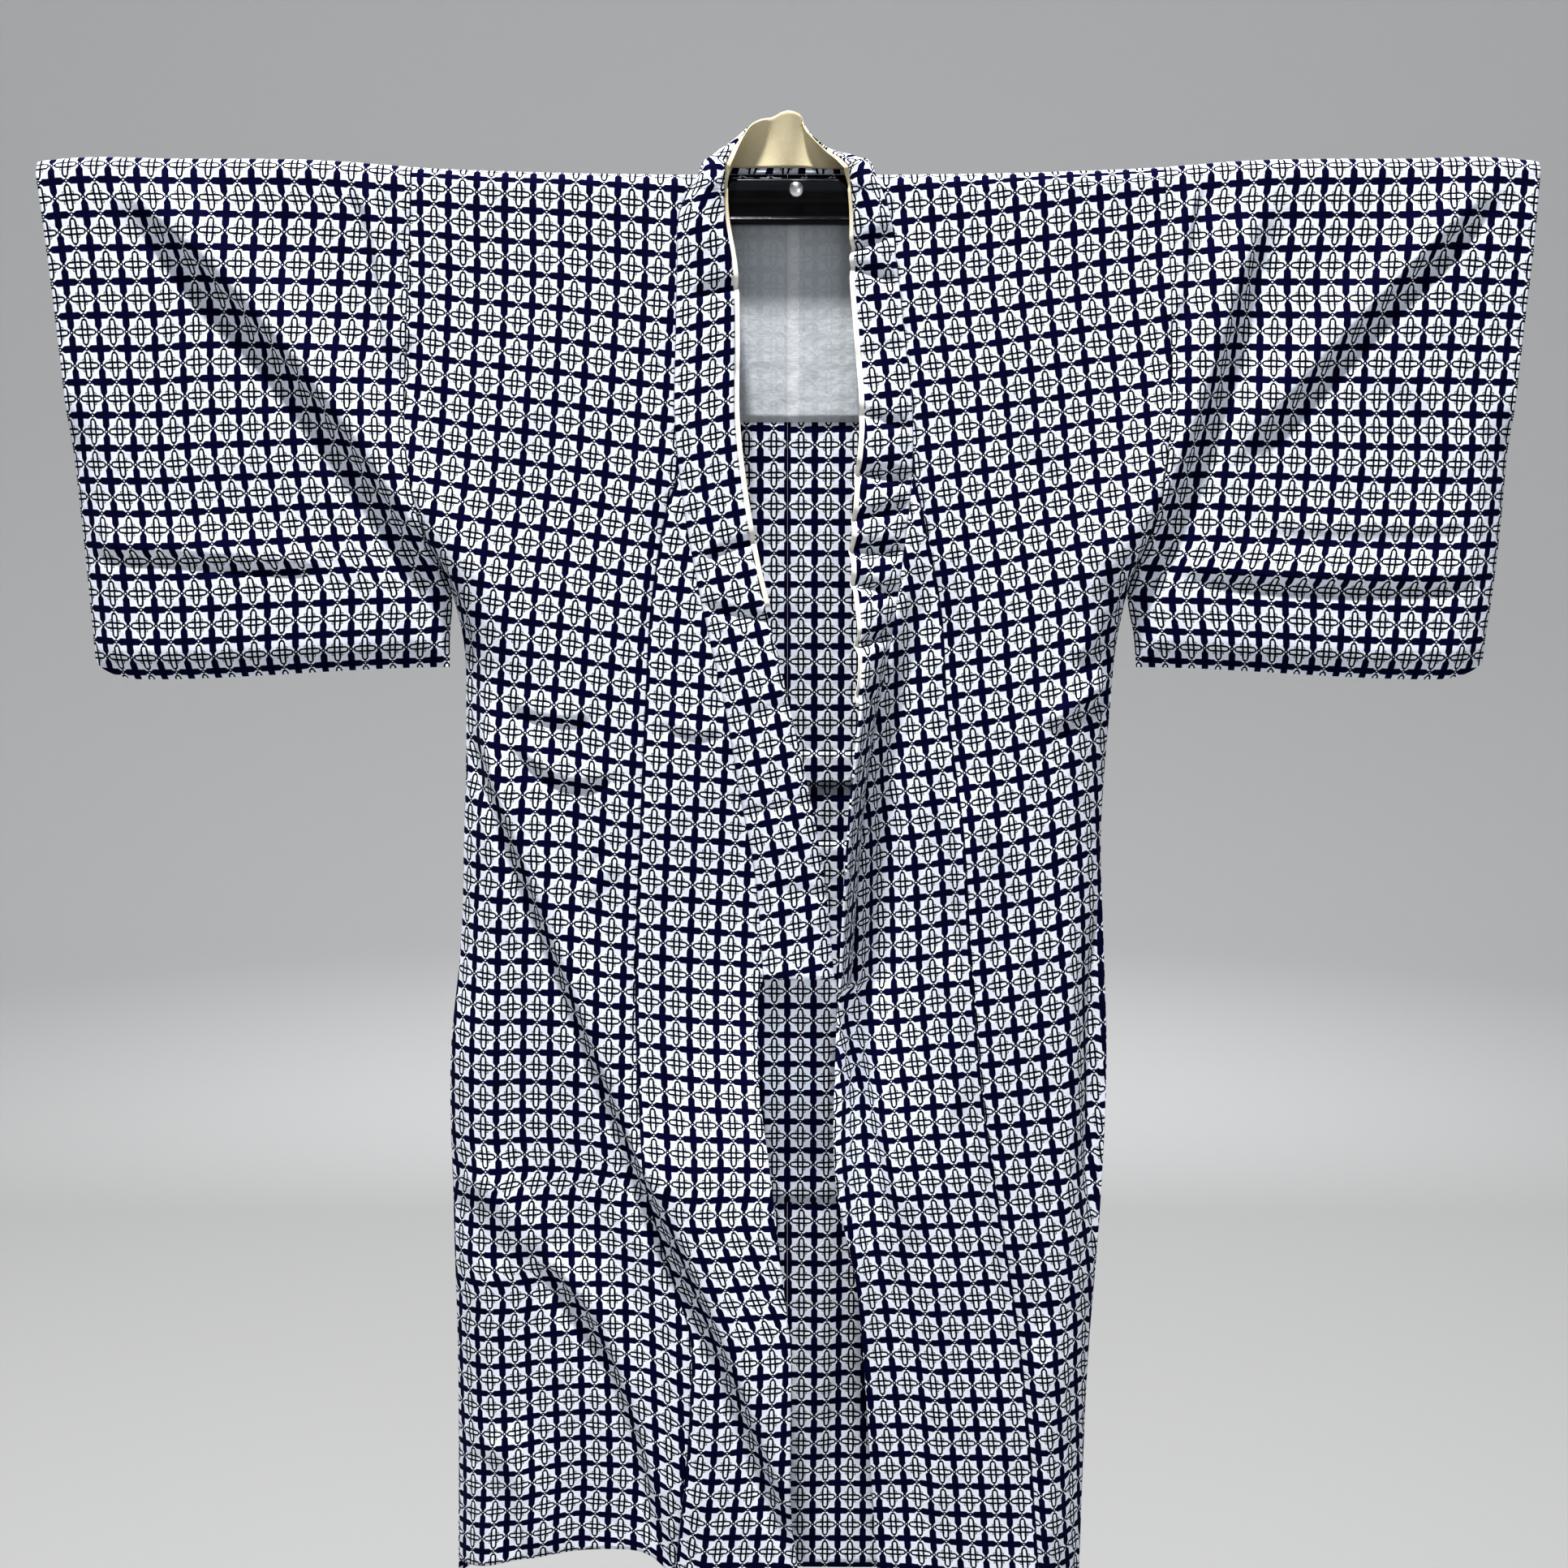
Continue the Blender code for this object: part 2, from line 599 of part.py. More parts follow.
def make_back_lining(name, top_row, end_row, wall, material):
    """Cloth that lies on the inside of the back, across both lengths."""
    rows = back_rows()[::-1]
    first, last = rows.index(end_row), rows.index(top_row)
    halves = []
    for side in (-1, 1):
        points, inward = body_points(side)
        keep = np.abs(points[first, :, 0]) < LINING_HALF
        inside = points + inward * (WALL + LINING_GAP)
        halves.append(inside[first:last + 1, keep])
    left, right = halves
    centre = 0.5 * (left[:, :1] + right[:, :1])
    outer = np.concatenate([left[:, :0:-1], centre, right[:, 1:]], axis=1)
    inner = outer - np.array([0.0, wall, 0.0])
    return solid_from_grid(name, outer, inner, 1, material)


def sleeve_bottom(u):
    """Height of a sleeve's lower edge, from its inner end (0) to the wrist (1)."""
    level = SLEEVE_BOTTOM - SLEEVE_BOTTOM_FALL * ease(u / 0.85)
    round_off = np.clip(1 - (1 - u) * SLEEVE_WIDTH / CORNER_RUN, 0.0, 1.0)
    return level + CORNER_RISE * (1 - np.sqrt(1 - 0.96 * round_off**2))


def sleeve_depth(u, z):
    """Half depth of a sleeve: open at the armhole and wrist, shut where it is sewn."""
    middle = smooth_line(z, HALF_DEPTH, "sleeve")
    wrist = PINCH + (WRIST_HALF_DEPTH - PINCH) * ease((z - WRIST_SEAM_TOP + 0.030) / 0.060)
    near_arm = 1 - plump(u * SLEEVE_WIDTH / SLEEVE_EDGE_RUN)
    near_wrist = 1 - plump((1 - u) * SLEEVE_WIDTH / SLEEVE_EDGE_RUN)
    depth = middle - (middle - seam_depth(z)) * near_arm - (middle - wrist) * near_wrist
    shut = plump((z - sleeve_bottom(u)) / 0.030)
    return PINCH + (np.maximum(depth, PINCH) - PINCH) * shut


def make_sleeve(name, side, material):
    """Rectangle folded over the arm, sewn below and at the lower part of both ends."""
    inner_column = "inner_left" if side < 0 else "inner_right"
    wrist_column = "wrist_left" if side < 0 else "wrist_right"
    u = np.concatenate([spaced(0.0, 0.90, SLEEVE_COLUMNS), [0.955, 1.0]])

    def level_points(arm_share, low_share, front):
        seam_z = row_height(side * ARMHOLE_X, arm_share, front)
        x_top = side * (ARMHOLE_X + SLEEVE_WIDTH * u)
        quarter = top_level(x_top) - TOP_ROUND
        z = quarter + (UNDERARM - quarter) * arm_share
        z = z + (sleeve_bottom(u) - UNDERARM) * low_share
        z[0] = seam_z + (sleeve_bottom(u)[0] - UNDERARM) * low_share
        if low_share > 0:
            inner = smooth_line(z, SLEEVE_ENDS, inner_column)
        else:
            inner = side_line(z, side)
        inner = inner + side * SEAM_GAP / 2
        x = inner + (smooth_line(z, SLEEVE_ENDS, wrist_column) - inner) * u
        y = pair_offset(sleeve_depth(u, z), x, z, front)
        return np.stack([x, y, z], axis=1)

    steps = [(share, 0.0) for share in ARM_SHARES]
    steps += [(1.0, share) for share in (0.30, 0.60, 0.82, 0.94, 1.0)]
    outer, inward = [], []
    for front in (True, False):
        for arm, low in (steps if front else steps[::-1]):
            outer.append(level_points(arm, low, front))
            inward.append((0.0, 1.0 if front else -1.0, 1.0 if low == 1.0 else 0.0))
    top = level_points(0.0, 0.0, True)
    for turn in ROUND_TURNS:
        angle = turn * math.pi / 2
        y = sleeve_depth(u, top[:, 2]) * math.sin(angle)
        z = top[:, 2] + TOP_ROUND * math.cos(angle)
        outer.append(np.stack([top[:, 0], y, z], axis=1))
        inward.append((0.0, -math.sin(angle), -math.cos(angle)))
    outer = np.array(outer)
    inner = outer + np.array(inward)[:, None, :] * WALL
    return solid_from_grid(name, outer, inner, side, material, loop=True)


def okumi_face(x, z, side, inner):
    """Front face of an overlap panel. The right one curls forward at its inner edge."""
    y = front_face(x, z)
    if side > 0:
        curl = OKUMI_CURL * np.exp(-(((z + 0.66) / 0.34) ** 2)) * ease((-0.235 - z) / 0.16)
        from_edge = x - inner
        y = y + 0.45 * curl * np.exp(-(((from_edge - 0.026) / 0.014) ** 2))
        y = y - curl * np.exp(-((from_edge / OKUMI_CURL_WIDTH) ** 2))
    return y


def make_okumi(name, side, material):
    """Overlap panel, drawn to a point at its top."""
    across = spaced(0.0, 1.0, OKUMI_COLUMNS + 1)
    if side > 0:
        across = np.concatenate([[0.0, 0.13], across[1:]])
    rows = []
    for row in front_rows():
        if not has_okumi(row):
            continue
        gap = SEAM_GAP / 2 if has_collar(row) else 0.0
        edge = free_edge(row, side)
        inner = edge + side * gap
        seam = panel_seam(row, side) - side * SEAM_GAP / 2
        x = inner + (seam - inner) * across
        z = row_height(x, row, True)
        rows.append(np.stack([x, okumi_face(x, z, side, edge), z], axis=1))
    outer = np.array(rows)
    inner = outer + np.array([0.0, WALL, 0.0])
    return solid_from_grid(name, outer, inner, side, material)


def collar_stations():
    """Seam edge, free edge, bulge and inward direction at the seam, left end to right."""
    seam, free, bulge, seam_in = [], [], [], []

    def front_station(row, side):
        s = "left" if side < 0 else "right"
        edge = collar_edge(row, side)
        z = float(row_height(edge, row, True))
        free_x = smooth_line(z, COLLAR_LINE, "free_" + s)
        stand = smooth_line(z, COLLAR_LINE, "stand_" + s)
        if has_okumi(row):
            y = float(okumi_face(np.array([edge]), np.array([z]), side, edge)[0])
        else:
            y = float(front_face(np.array([edge]), np.array([z]))[0])
        seam.append((edge - side * SEAM_GAP / 2, y - COLLAR_LAP, z))
        free.append((float(free_x), y - COLLAR_LAP - float(stand), z))
        bulge.append(0.002 + 0.006 * float(ease((z + 0.10) / 0.10)))
        seam_in.append((0.0, 1.0, 0.0))

    def neck_station(seam_x):
        y, z = over_the_bar(np.array([seam_x]), np.array([0.0]))[:2]
        seam.append((seam_x, float(y[0]), float(z[0]) + SEAM_GAP))
        behind = float(y[0]) / TOP_ROUND
        direction = np.array([-math.copysign(1 - behind, seam_x), -behind - 0.05, 0.0])
        seam_in.append(tuple(direction / np.linalg.norm(direction)))
        free.append(tuple(
            float(smooth_line(seam_x, NECK_LINE, c, key="seam_x"))
            for c in ("free_x", "free_y", "free_z")))
        bulge.append(float(smooth_line(seam_x, NECK_LINE, "bulge", key="seam_x")))

    def shoulder_station(turn, side):
        """Round the bar between the front and the shoulder point."""
        x = float(collar_seam(round_level(turn), side)) - side * 2 * SEAM_GAP
        y, z, in_y, in_z = over_the_bar(np.array([x]), np.array([turn]))
        seam.append(
            (x, float(y[0] - in_y[0] * COLLAR_PROUD), float(z[0] - in_z[0] * COLLAR_PROUD)))
        row_z = float(row_height(x, 0.0, True))
        s = "left" if side < 0 else "right"
        front_free = np.array([
            float(smooth_line(row_z, COLLAR_LINE, "free_" + s)),
            -TOP_ROUND - float(smooth_line(row_z, COLLAR_LINE, "stand_" + s)), row_z])
        end = NECK_LINE[0] if side < 0 else NECK_LINE[-1]
        neck_free = np.array([end.free_x, end.free_y, end.free_z])
        share = 1 + turn
        free.append(tuple(front_free * (1 - share) + neck_free * share))
        bulge.append(0.0090)
        seam_in.append((0.0, float(in_y[0]), float(in_z[0])))

    rows = [row for row in front_rows() if has_collar(row)]
    turns = [turn for turn in ROUND_TURNS if turn < 0]
    for row in rows[::-1]:
        front_station(row, -1)
    for turn in turns[::-1]:
        shoulder_station(turn, -1)
    for share in spaced(-1.0, 1.0, 2 * NECK_COLUMNS + 1):
        neck_station(share * NECK_HALF)
    for turn in turns:
        shoulder_station(turn, 1)
    for row in rows:
        front_station(row, 1)
    return np.array(seam), np.array(free), np.array(bulge), np.array(seam_in)


def collar_points():
    """Outer points and inward directions of the collar, bowed out by the bulge."""
    seam, free, bulge, seam_in = collar_stations()
    chord = free - seam
    out = -np.cross(np.gradient(0.5 * (seam + free), axis=0), chord)
    out /= np.linalg.norm(out, axis=1, keepdims=True)
    share = spaced(0.0, 1.0, COLLAR_COLUMNS + 1)[None, :, None]
    bow = 4 * share * (1 - share) * bulge[:, None, None]
    outer = seam[:, None, :] + chord[:, None, :] * share + out[:, None, :] * bow
    inward = np.cross(np.gradient(outer, axis=0), np.gradient(outer, axis=1))
    inward /= np.linalg.norm(inward, axis=2, keepdims=True)
    return outer, np.concatenate([seam_in[:, None, :], inward[:, 1:]], axis=1)


def make_collar(name, material):
    """One band, folded double, round the neck and down both fronts."""
    outer, inward = collar_points()
    return solid_from_grid(name, outer, outer + inward * COLLAR_WALL, -1, material)


def make_collar_lining(name, material):
    """Cream strip on the collar's inner face, its edge showing past the collar."""
    outer, inward = collar_points()
    face = outer + inward * (COLLAR_WALL + TRIM_GAP)
    chord = face[:, -1] - face[:, -2]
    chord /= np.linalg.norm(chord, axis=1, keepdims=True)
    face[:, -1] += chord * TRIM_REACH
    face[:, 0] += (face[:, 1] - face[:, 0]) * 0.20
    middle = len(outer) // 2
    z = outer[:, 0, 2]
    place = np.arange(len(outer))
    keep = np.where(place < middle, z > COLLAR_LINING_LEFT_END, z > COLLAR_LINING_RIGHT_END)
    back = face + inward * TRIM_WALL
    return solid_from_grid(name, face[keep], back[keep], -1, material)


def make_prism(name, outline, start, end, start_shift, end_shift, material):
    """Solid between two like outlines in Y and Z, at two places along X."""
    points = [(start, y, z + start_shift) for y, z in outline]
    points += [(end, y, z + end_shift) for y, z in outline]
    count = len(outline)
    faces = [list(range(count))[::-1], list(range(count, 2 * count))]
    for i in range(count):
        j = (i + 1) % count
        faces.append([i, j, count + j, count + i])
    return add_mesh(name, points, faces, material)


def bar_outline():
    """Section of the housing: a stepped front with a lower rail, a plain back."""
    face, step = HOUSING_FACE, HOUSING_STEP
    return [
        (0.0045, HOUSING_TOP), (-0.0045, HOUSING_TOP), (-face, 0.0168), (-face, 0.0010),
        (-step, -0.0010), (-step, -0.0090), (-face, -0.0110), (-face, -0.0190),
        (-step, -HOUSING_FOOT), (step, -HOUSING_FOOT), (face, -0.0190), (face, 0.0168),
    ]


def make_hanger(black):
    """Straight bar: a centre housing and two arms that rise a little to the wrists."""
    make_prism("hanger_housing", bar_outline(), -BAR_HALF, BAR_HALF, 0.0, 0.0, black)
    edge, high, low, deep = ARM_EDGE, 0.0, -ARM_HEIGHT, ARM_HALF_DEPTH
    section = [
        (deep - edge, high), (edge - deep, high), (-deep, high - edge), (-deep, low + edge),
        (edge - deep, low), (deep - edge, low), (deep, low + edge), (deep, high - edge),
    ]
    start = BAR_HALF + SEAM_GAP
    make_prism("hanger_arm_right", section, start, ARM_END, ARM_TOP_START, ARM_TOP_END, black)
    make_prism("hanger_arm_left", section, -ARM_END, -start, ARM_TOP_END, ARM_TOP_START, black)


def make_stud(name, material):
    """Domed stud on the front of the housing."""
    rings, sides = 4, 16
    face_y = -HOUSING_FACE - SEAM_GAP
    points = []
    for ring in range(rings):
        angle = ring / rings * math.pi / 2
        for k in range(sides):
            turn = 2 * math.pi * k / sides
            radius = STUD_RADIUS * math.cos(angle)
            points.append((
                STUD_X + radius * math.cos(turn),
                face_y - STUD_HEIGHT * math.sin(angle),
                STUD_Z + radius * math.sin(turn)))
    points.append((STUD_X, face_y - STUD_HEIGHT, STUD_Z))
    faces = [list(range(sides))[::-1]]
    for ring in range(rings - 1):
        for k in range(sides):
            a, b = ring * sides + k, ring * sides + (k + 1) % sides
            faces.append([a, b, b + sides, a + sides])
    last = (rings - 1) * sides
    for k in range(sides):
        faces.append([last + k, last + (k + 1) % sides, rings * sides])
    add_mesh(name, points, faces, material)


def main():
    for obj in list(bpy.data.objects):
        bpy.data.objects.remove(obj)
    cotton = make_material("printed_cotton", COTTON_NAVY, 0.85)
    cream = make_material("cream_cotton", CREAM, 0.85)
    white = make_material("white_cotton", WHITE_COTTON, 0.85)
    black = make_material("black_gloss", BLACK_GLOSS, 0.12)
    silver = make_material("silver", SILVER, 0.25, 1.0)
    for word, side in (("left", -1), ("right", 1)):
        make_body("body_" + word, side, cotton)
        make_sleeve("sleeve_" + word, side, cotton)
        make_okumi("okumi_" + word, side, cotton)
    make_collar("collar", cotton)
    make_collar_lining("collar_lining", cream)
    make_back_lining(
        "shoulder_lining", ARM_SHARES[0], SHOULDER_LINING_SHARE, LINING_WALL, white)
    make_back_lining("waist_tuck", TUCK_TOP, TUCK_EDGE, TUCK_WALL, cotton)
    make_back_lining("seat_lining", SEAT_LINING_TOP, SEAT_LINING_END, LINING_WALL, cotton)
    make_hanger(black)
    make_stud("hanger_stud", silver)


main()
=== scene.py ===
"""Cotton yukata robe, men's cut, hung open on a straight kimono hanger bar.

Metres. +X is to the viewer's right, -Y comes towards the viewer, +Z is up.
The origin is the centre of the hanger bar, where the robe is held up.
"""

import math
from collections import namedtuple

import bpy
import numpy as np
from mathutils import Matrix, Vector


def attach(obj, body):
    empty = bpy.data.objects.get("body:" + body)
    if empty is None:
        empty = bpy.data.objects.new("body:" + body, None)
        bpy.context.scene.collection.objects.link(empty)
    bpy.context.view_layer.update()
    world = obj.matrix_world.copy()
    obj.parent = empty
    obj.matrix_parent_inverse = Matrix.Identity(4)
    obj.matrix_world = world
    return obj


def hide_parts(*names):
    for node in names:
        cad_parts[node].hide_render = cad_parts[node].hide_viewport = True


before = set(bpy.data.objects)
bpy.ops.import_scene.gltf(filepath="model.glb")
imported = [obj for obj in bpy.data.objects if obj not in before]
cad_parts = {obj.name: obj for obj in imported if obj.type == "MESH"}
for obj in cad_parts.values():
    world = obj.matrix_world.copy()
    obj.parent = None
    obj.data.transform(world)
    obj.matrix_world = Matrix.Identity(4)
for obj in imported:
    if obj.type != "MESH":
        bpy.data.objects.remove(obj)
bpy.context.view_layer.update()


# ---------------------------------------------------------------- hanger bar
# A straight kimono hanger. Its moulded housing carries the middle of the robe,
# and two arms slide out of the housing into the sleeves. Glossy black plastic,
# with the fine scuffs of use, and a plain silver stud on the front.

class Value:
    """A number in a material's nodes. An expression on values adds its Math nodes."""

    def __init__(self, finish, socket):
        self.finish = finish
        self.socket = socket

    def math(self, operation, *others, clamp=False):
        settings = {"operation": operation, "use_clamp": clamp}
        return self.finish.node("ShaderNodeMath", settings, (self, *others))

    def __add__(self, other):
        return self.math("ADD", other)

    def __sub__(self, other):
        return self.math("SUBTRACT", other)

    def __rsub__(self, other):
        return self * -1.0 + other

    def __mul__(self, other):
        return self.math("MULTIPLY", other)

    def __abs__(self):
        return self.math("ABSOLUTE")

    __radd__ = __add__
    __rmul__ = __mul__

    def power(self, exponent):
        return self.math("POWER", exponent)

    def least(self, other):
        return self.math("MINIMUM", other)

    def most(self, other):
        return self.math("MAXIMUM", other)

    def held(self):
        """The value held between 0 and 1."""
        return self.math("ADD", 0.0, clamp=True)


class Finish:
    """A Principled material, and the one way in which its other nodes are made."""

    def __init__(self, name, **sockets):
        self.material = bpy.data.materials.new(name)
        self.material.use_nodes = True
        self.tree = self.material.node_tree
        self.shader = self.tree.nodes["Principled BSDF"]
        for socket, value in sockets.items():
            self.feed(socket.replace("_", " ").title().replace("Ior", "IOR"), value)

    def node(self, kind, settings=None, inputs=(), output=0):
        """New node: its settings first, then the values or links of its sockets."""
        node = self.tree.nodes.new(kind)
        for name, value in (settings or {}).items():
            setattr(node, name, value)
        self.connect(node, inputs)
        return Value(self, node.outputs[output])

    def connect(self, node, inputs):
        pairs = inputs.items() if isinstance(inputs, dict) else enumerate(inputs)
        for key, value in pairs:
            if isinstance(value, Value):
                self.tree.links.new(value.socket, node.inputs[key])
            else:
                node.inputs[key].default_value = value

    def feed(self, socket, value):
        self.connect(self.shader, {socket: value})

    def mix(self, share, low, high):
        """Colour between low and high."""
        sockets = {0: share, 6: low, 7: high}
        return self.node("ShaderNodeMix", {"data_type": "RGBA"}, sockets, output=2)

    def noise(self, vector, scale, detail=2.0, roughness=0.5):
        sockets = {"Vector": vector, "Scale": scale, "Detail": detail, "Roughness": roughness}
        return self.node("ShaderNodeTexNoise", {}, sockets)

    def bump(self, height, distance, strength=1.0):
        """Surface raised by a height of 0 to 1 times the distance."""
        sockets = {"Height": height, "Distance": distance, "Strength": strength}
        self.feed("Normal", self.node("ShaderNodeBump", {}, sockets))

    def place(self):
        return self.node("ShaderNodeTexCoord", output=3)


def grid_mesh(name, points, quads, finish, grain=None):
    """Smooth mesh from an array of points and one of quads, with its own UV map."""
    used, quads = np.unique(quads, return_inverse=True)
    quads = quads.reshape(-1, 4)
    mesh = bpy.data.meshes.new(name)
    mesh.vertices.add(len(used))
    mesh.vertices.foreach_set("co", points[used].astype(np.float32).ravel())
    mesh.loops.add(quads.size)
    mesh.loops.foreach_set("vertex_index", quads.astype(np.int32).ravel())
    mesh.polygons.add(len(quads))
    mesh.polygons.foreach_set("loop_start", np.arange(0, quads.size, 4, dtype=np.int32))
    mesh.update(calc_edges=True)
    mesh.validate()
    mesh.materials.append(finish.material)
    mesh.shade_smooth()
    if grain is not None:
        layer = mesh.uv_layers.new(name="grain")
        layer.data.foreach_set("uv", grain.astype(np.float32).ravel())
    piece = bpy.data.objects.new(name, mesh)
    bpy.context.scene.collection.objects.link(piece)
    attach(piece, "root")
    return piece


def rings_closed(points):
    """Quads of a tube whose first axis runs along it and whose second goes round,
    closed by a pole at each end: the end rings are points that coincide.
    """
    rows, columns = points.shape[:2]
    at = np.arange(rows * columns).reshape(rows, columns)
    turned = np.roll(at, -1, axis=1)
    return np.stack([at[:-1], at[1:], turned[1:], turned[:-1]], axis=-1).reshape(-1, 4)


HOUSING_HALF = 0.185
housing_section = np.array([
    (0.0045, 0.0204), (-0.0045, 0.0204), (-0.0068, 0.0160), (-0.0088, 0.0066),
    (-0.0086, 0.0010), (-0.0066, -0.0010), (-0.0064, -0.0080), (-0.0066, -0.0146),
    (-0.0086, -0.0164), (-0.0088, -0.0184), (-0.0086, -0.0200), (-0.0062, -0.0217),
    (0.0062, -0.0217), (0.0088, -0.0190), (0.0088, 0.0168)])


def rounded_section(section, rounds=3, cut=0.22):
    """Each round replaces a corner with two points, a share of the way along its sides."""
    for _ in range(rounds):
        after = np.roll(section, -1, axis=0)
        pair = np.stack([section + (after - section) * cut, after + (section - after) * cut], 1)
        section = pair.reshape(-1, 2)
        cut = 0.25
    return section


def carried_bar(section, stations, scales):
    """The section in Y and Z at each station along X, shrunk towards its middle."""
    middle = section.mean(axis=0)
    scaled = middle + (section - middle)[None] * scales[:, None, None]
    along = np.broadcast_to(stations[:, None, None], scaled.shape[:2] + (1,))
    return np.concatenate([along, scaled], axis=2)


black_gloss = Finish("hanger_black", roughness=0.16, ior=1.3, coat_weight=0.15, coat_roughness=0.05)
scuffs = black_gloss.noise(
    black_gloss.node("ShaderNodeMapping", {}, {0: black_gloss.place(), 3: (18.0, 260.0, 260.0)}),
    1.0, detail=5.0, roughness=0.7)
dust = black_gloss.noise(black_gloss.place(), 55.0, detail=4.0)
black_gloss.feed("Base Color", black_gloss.mix(
    (dust * 1.6 - 0.55).held(), (0.0035, 0.0035, 0.0045, 1.0), (0.011, 0.011, 0.014, 1.0)))
black_gloss.feed("Roughness", (scuffs - 0.5).most(0.0) * 0.9 + 0.12)
black_gloss.bump(scuffs, 0.00006, 0.4)

bar_ends = np.array([0.0, 0.0, 0.0006, 0.0012, 0.0020])
bar_stations = np.concatenate([
    -HOUSING_HALF + bar_ends, np.linspace(-0.17, 0.17, 9), (HOUSING_HALF - bar_ends)[::-1]])
bar_scales = np.concatenate([
    [0.0, 0.90, 0.955, 0.985, 1.0], np.ones(9), [1.0, 0.985, 0.955, 0.90, 0.0]])
bar_points = carried_bar(rounded_section(housing_section), bar_stations, bar_scales)
housing = grid_mesh(
    "hanger_housing_moulded", bar_points.reshape(-1, 3), rings_closed(bar_points), black_gloss)
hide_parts("hanger_housing")

for arm in ("hanger_arm_left", "hanger_arm_right"):
    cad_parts[arm].data.materials.clear()
    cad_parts[arm].data.materials.append(black_gloss.material)

STUD_RADIUS = 0.0072
STUD_HEIGHT = 0.0043
STUD_CENTRE = (0.0079, -0.0087, 0.0094)
silver = Finish("stud_silver", metallic=1.0, roughness=0.22, base_color=(0.86, 0.87, 0.90, 1.0))
wear = silver.noise(silver.place(), 900.0, detail=3.0)
silver.feed("Roughness", wear * 0.22 + 0.12)
silver.bump(wear, 0.00003, 0.5)

turn, height = np.meshgrid(
    np.linspace(0.0, 2 * math.pi, 48, endpoint=False), np.linspace(0.0, 1.0, 14))
dome = STUD_RADIUS * np.cos(height * math.pi / 2) ** 0.8
stud_points = np.stack([
    STUD_CENTRE[0] + dome * np.cos(turn),
    STUD_CENTRE[1] - STUD_HEIGHT * np.sin(height * math.pi / 2),
    STUD_CENTRE[2] + dome * np.sin(turn)], axis=-1)
stud_base = np.broadcast_to(np.array(STUD_CENTRE), (1,) + stud_points.shape[1:])
stud_points = np.concatenate([stud_base, stud_points])
stud = grid_mesh("hanger_stud_dome", stud_points.reshape(-1, 3), rings_closed(stud_points), silver)
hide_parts("hanger_stud")


# ------------------------------------------------------------- body lengths
# Two straight lengths of cotton, left and right. Each runs from the back hem
# over the shoulder to the front hem. They are sewn together down the centre
# back, and pressed and hung they fall in soft diagonal folds.

WALL = 0.0009
SEAM_GAP = 0.0003
PINCH = 0.0014
TOP_ROUND = 0.0145
NECK_HALF = 0.0806
NECK_LEVEL = 0.0235
NECK_BACK_RISE = 0.0255
NECK_STRAIGHT_HALF = 0.058
NECK_STRAIGHT_RUN = 0.024
HEM_LEVEL = -1.357
HEM_LIFT = 0.052
HEM_LIFT_BACK = 0.024
HEM_LIFT_X = -0.180
HEM_LIFT_RUN = (0.175, 0.070)
UNDERARM = -0.358
UNDERARM_CLOSING = 0.100
ARMHOLE_X = 0.345
OKUMI_TIP_WIDTH = 0.0012
BODY_EDGE_RUN = 0.045
SIDE_TURN_WIDTH = 0.019
SIDE_TURN_LEVEL = -0.830
SIDE_TURN_SPAN = 0.150
TIP_SHARE = 0.66
TIP_BLEND = 0.10
SHOULDER_LINING_SHARE = 0.5685
TUCK_TOP = -0.512
TUCK_EDGE = -0.546
SEAT_LINING_TOP = -0.600
SEAT_LINING_END = -0.966
COLLAR_END = -0.724
COLLAR_FOOT = -0.738

TopRow = namedtuple("TopRow", "x z")
TOP_LINE = (
    TopRow(0.000, 0.0235),
    TopRow(0.085, 0.0235),
    TopRow(0.200, 0.0252),
    TopRow(0.345, 0.0305),
    TopRow(0.420, 0.0360),
    TopRow(0.560, 0.0378),
    TopRow(0.650, 0.0385),
    TopRow(0.690, 0.0350),
)

DepthRow = namedtuple("DepthRow", "z body sleeve")
HALF_DEPTH = (
    DepthRow(0.010, 0.0145, 0.0145),
    DepthRow(-0.060, 0.0155, 0.0148),
    DepthRow(-0.200, 0.0190, 0.0155),
    DepthRow(-0.400, 0.0240, 0.0150),
    DepthRow(-0.700, 0.0270, 0.0150),
    DepthRow(-1.000, 0.0290, 0.0150),
    DepthRow(-1.350, 0.0310, 0.0150),
)

# Side line of the body: armhole seam down to the underarm, then side seam
SideRow = namedtuple("SideRow", "z left right")
SIDE_LINE = (
    SideRow(0.030, -0.3415, 0.3425),
    SideRow(-0.040, -0.3450, 0.3480),
    SideRow(-0.120, -0.3500, 0.3515),
    SideRow(-0.220, -0.3525, 0.3505),
    SideRow(-0.300, -0.3380, 0.3390),
    SideRow(-0.358, -0.3160, 0.3200),
    SideRow(-0.400, -0.3065, 0.3115),
    SideRow(-0.470, -0.3050, 0.3060),
    SideRow(-0.590, -0.3098, 0.3003),
    SideRow(-0.700, -0.3155, 0.3055),
    SideRow(-0.800, -0.3270, 0.3105),
    SideRow(-0.960, -0.3283, 0.3078),
    SideRow(-1.110, -0.3275, 0.2995),
    SideRow(-1.350, -0.3320, 0.2945),
)

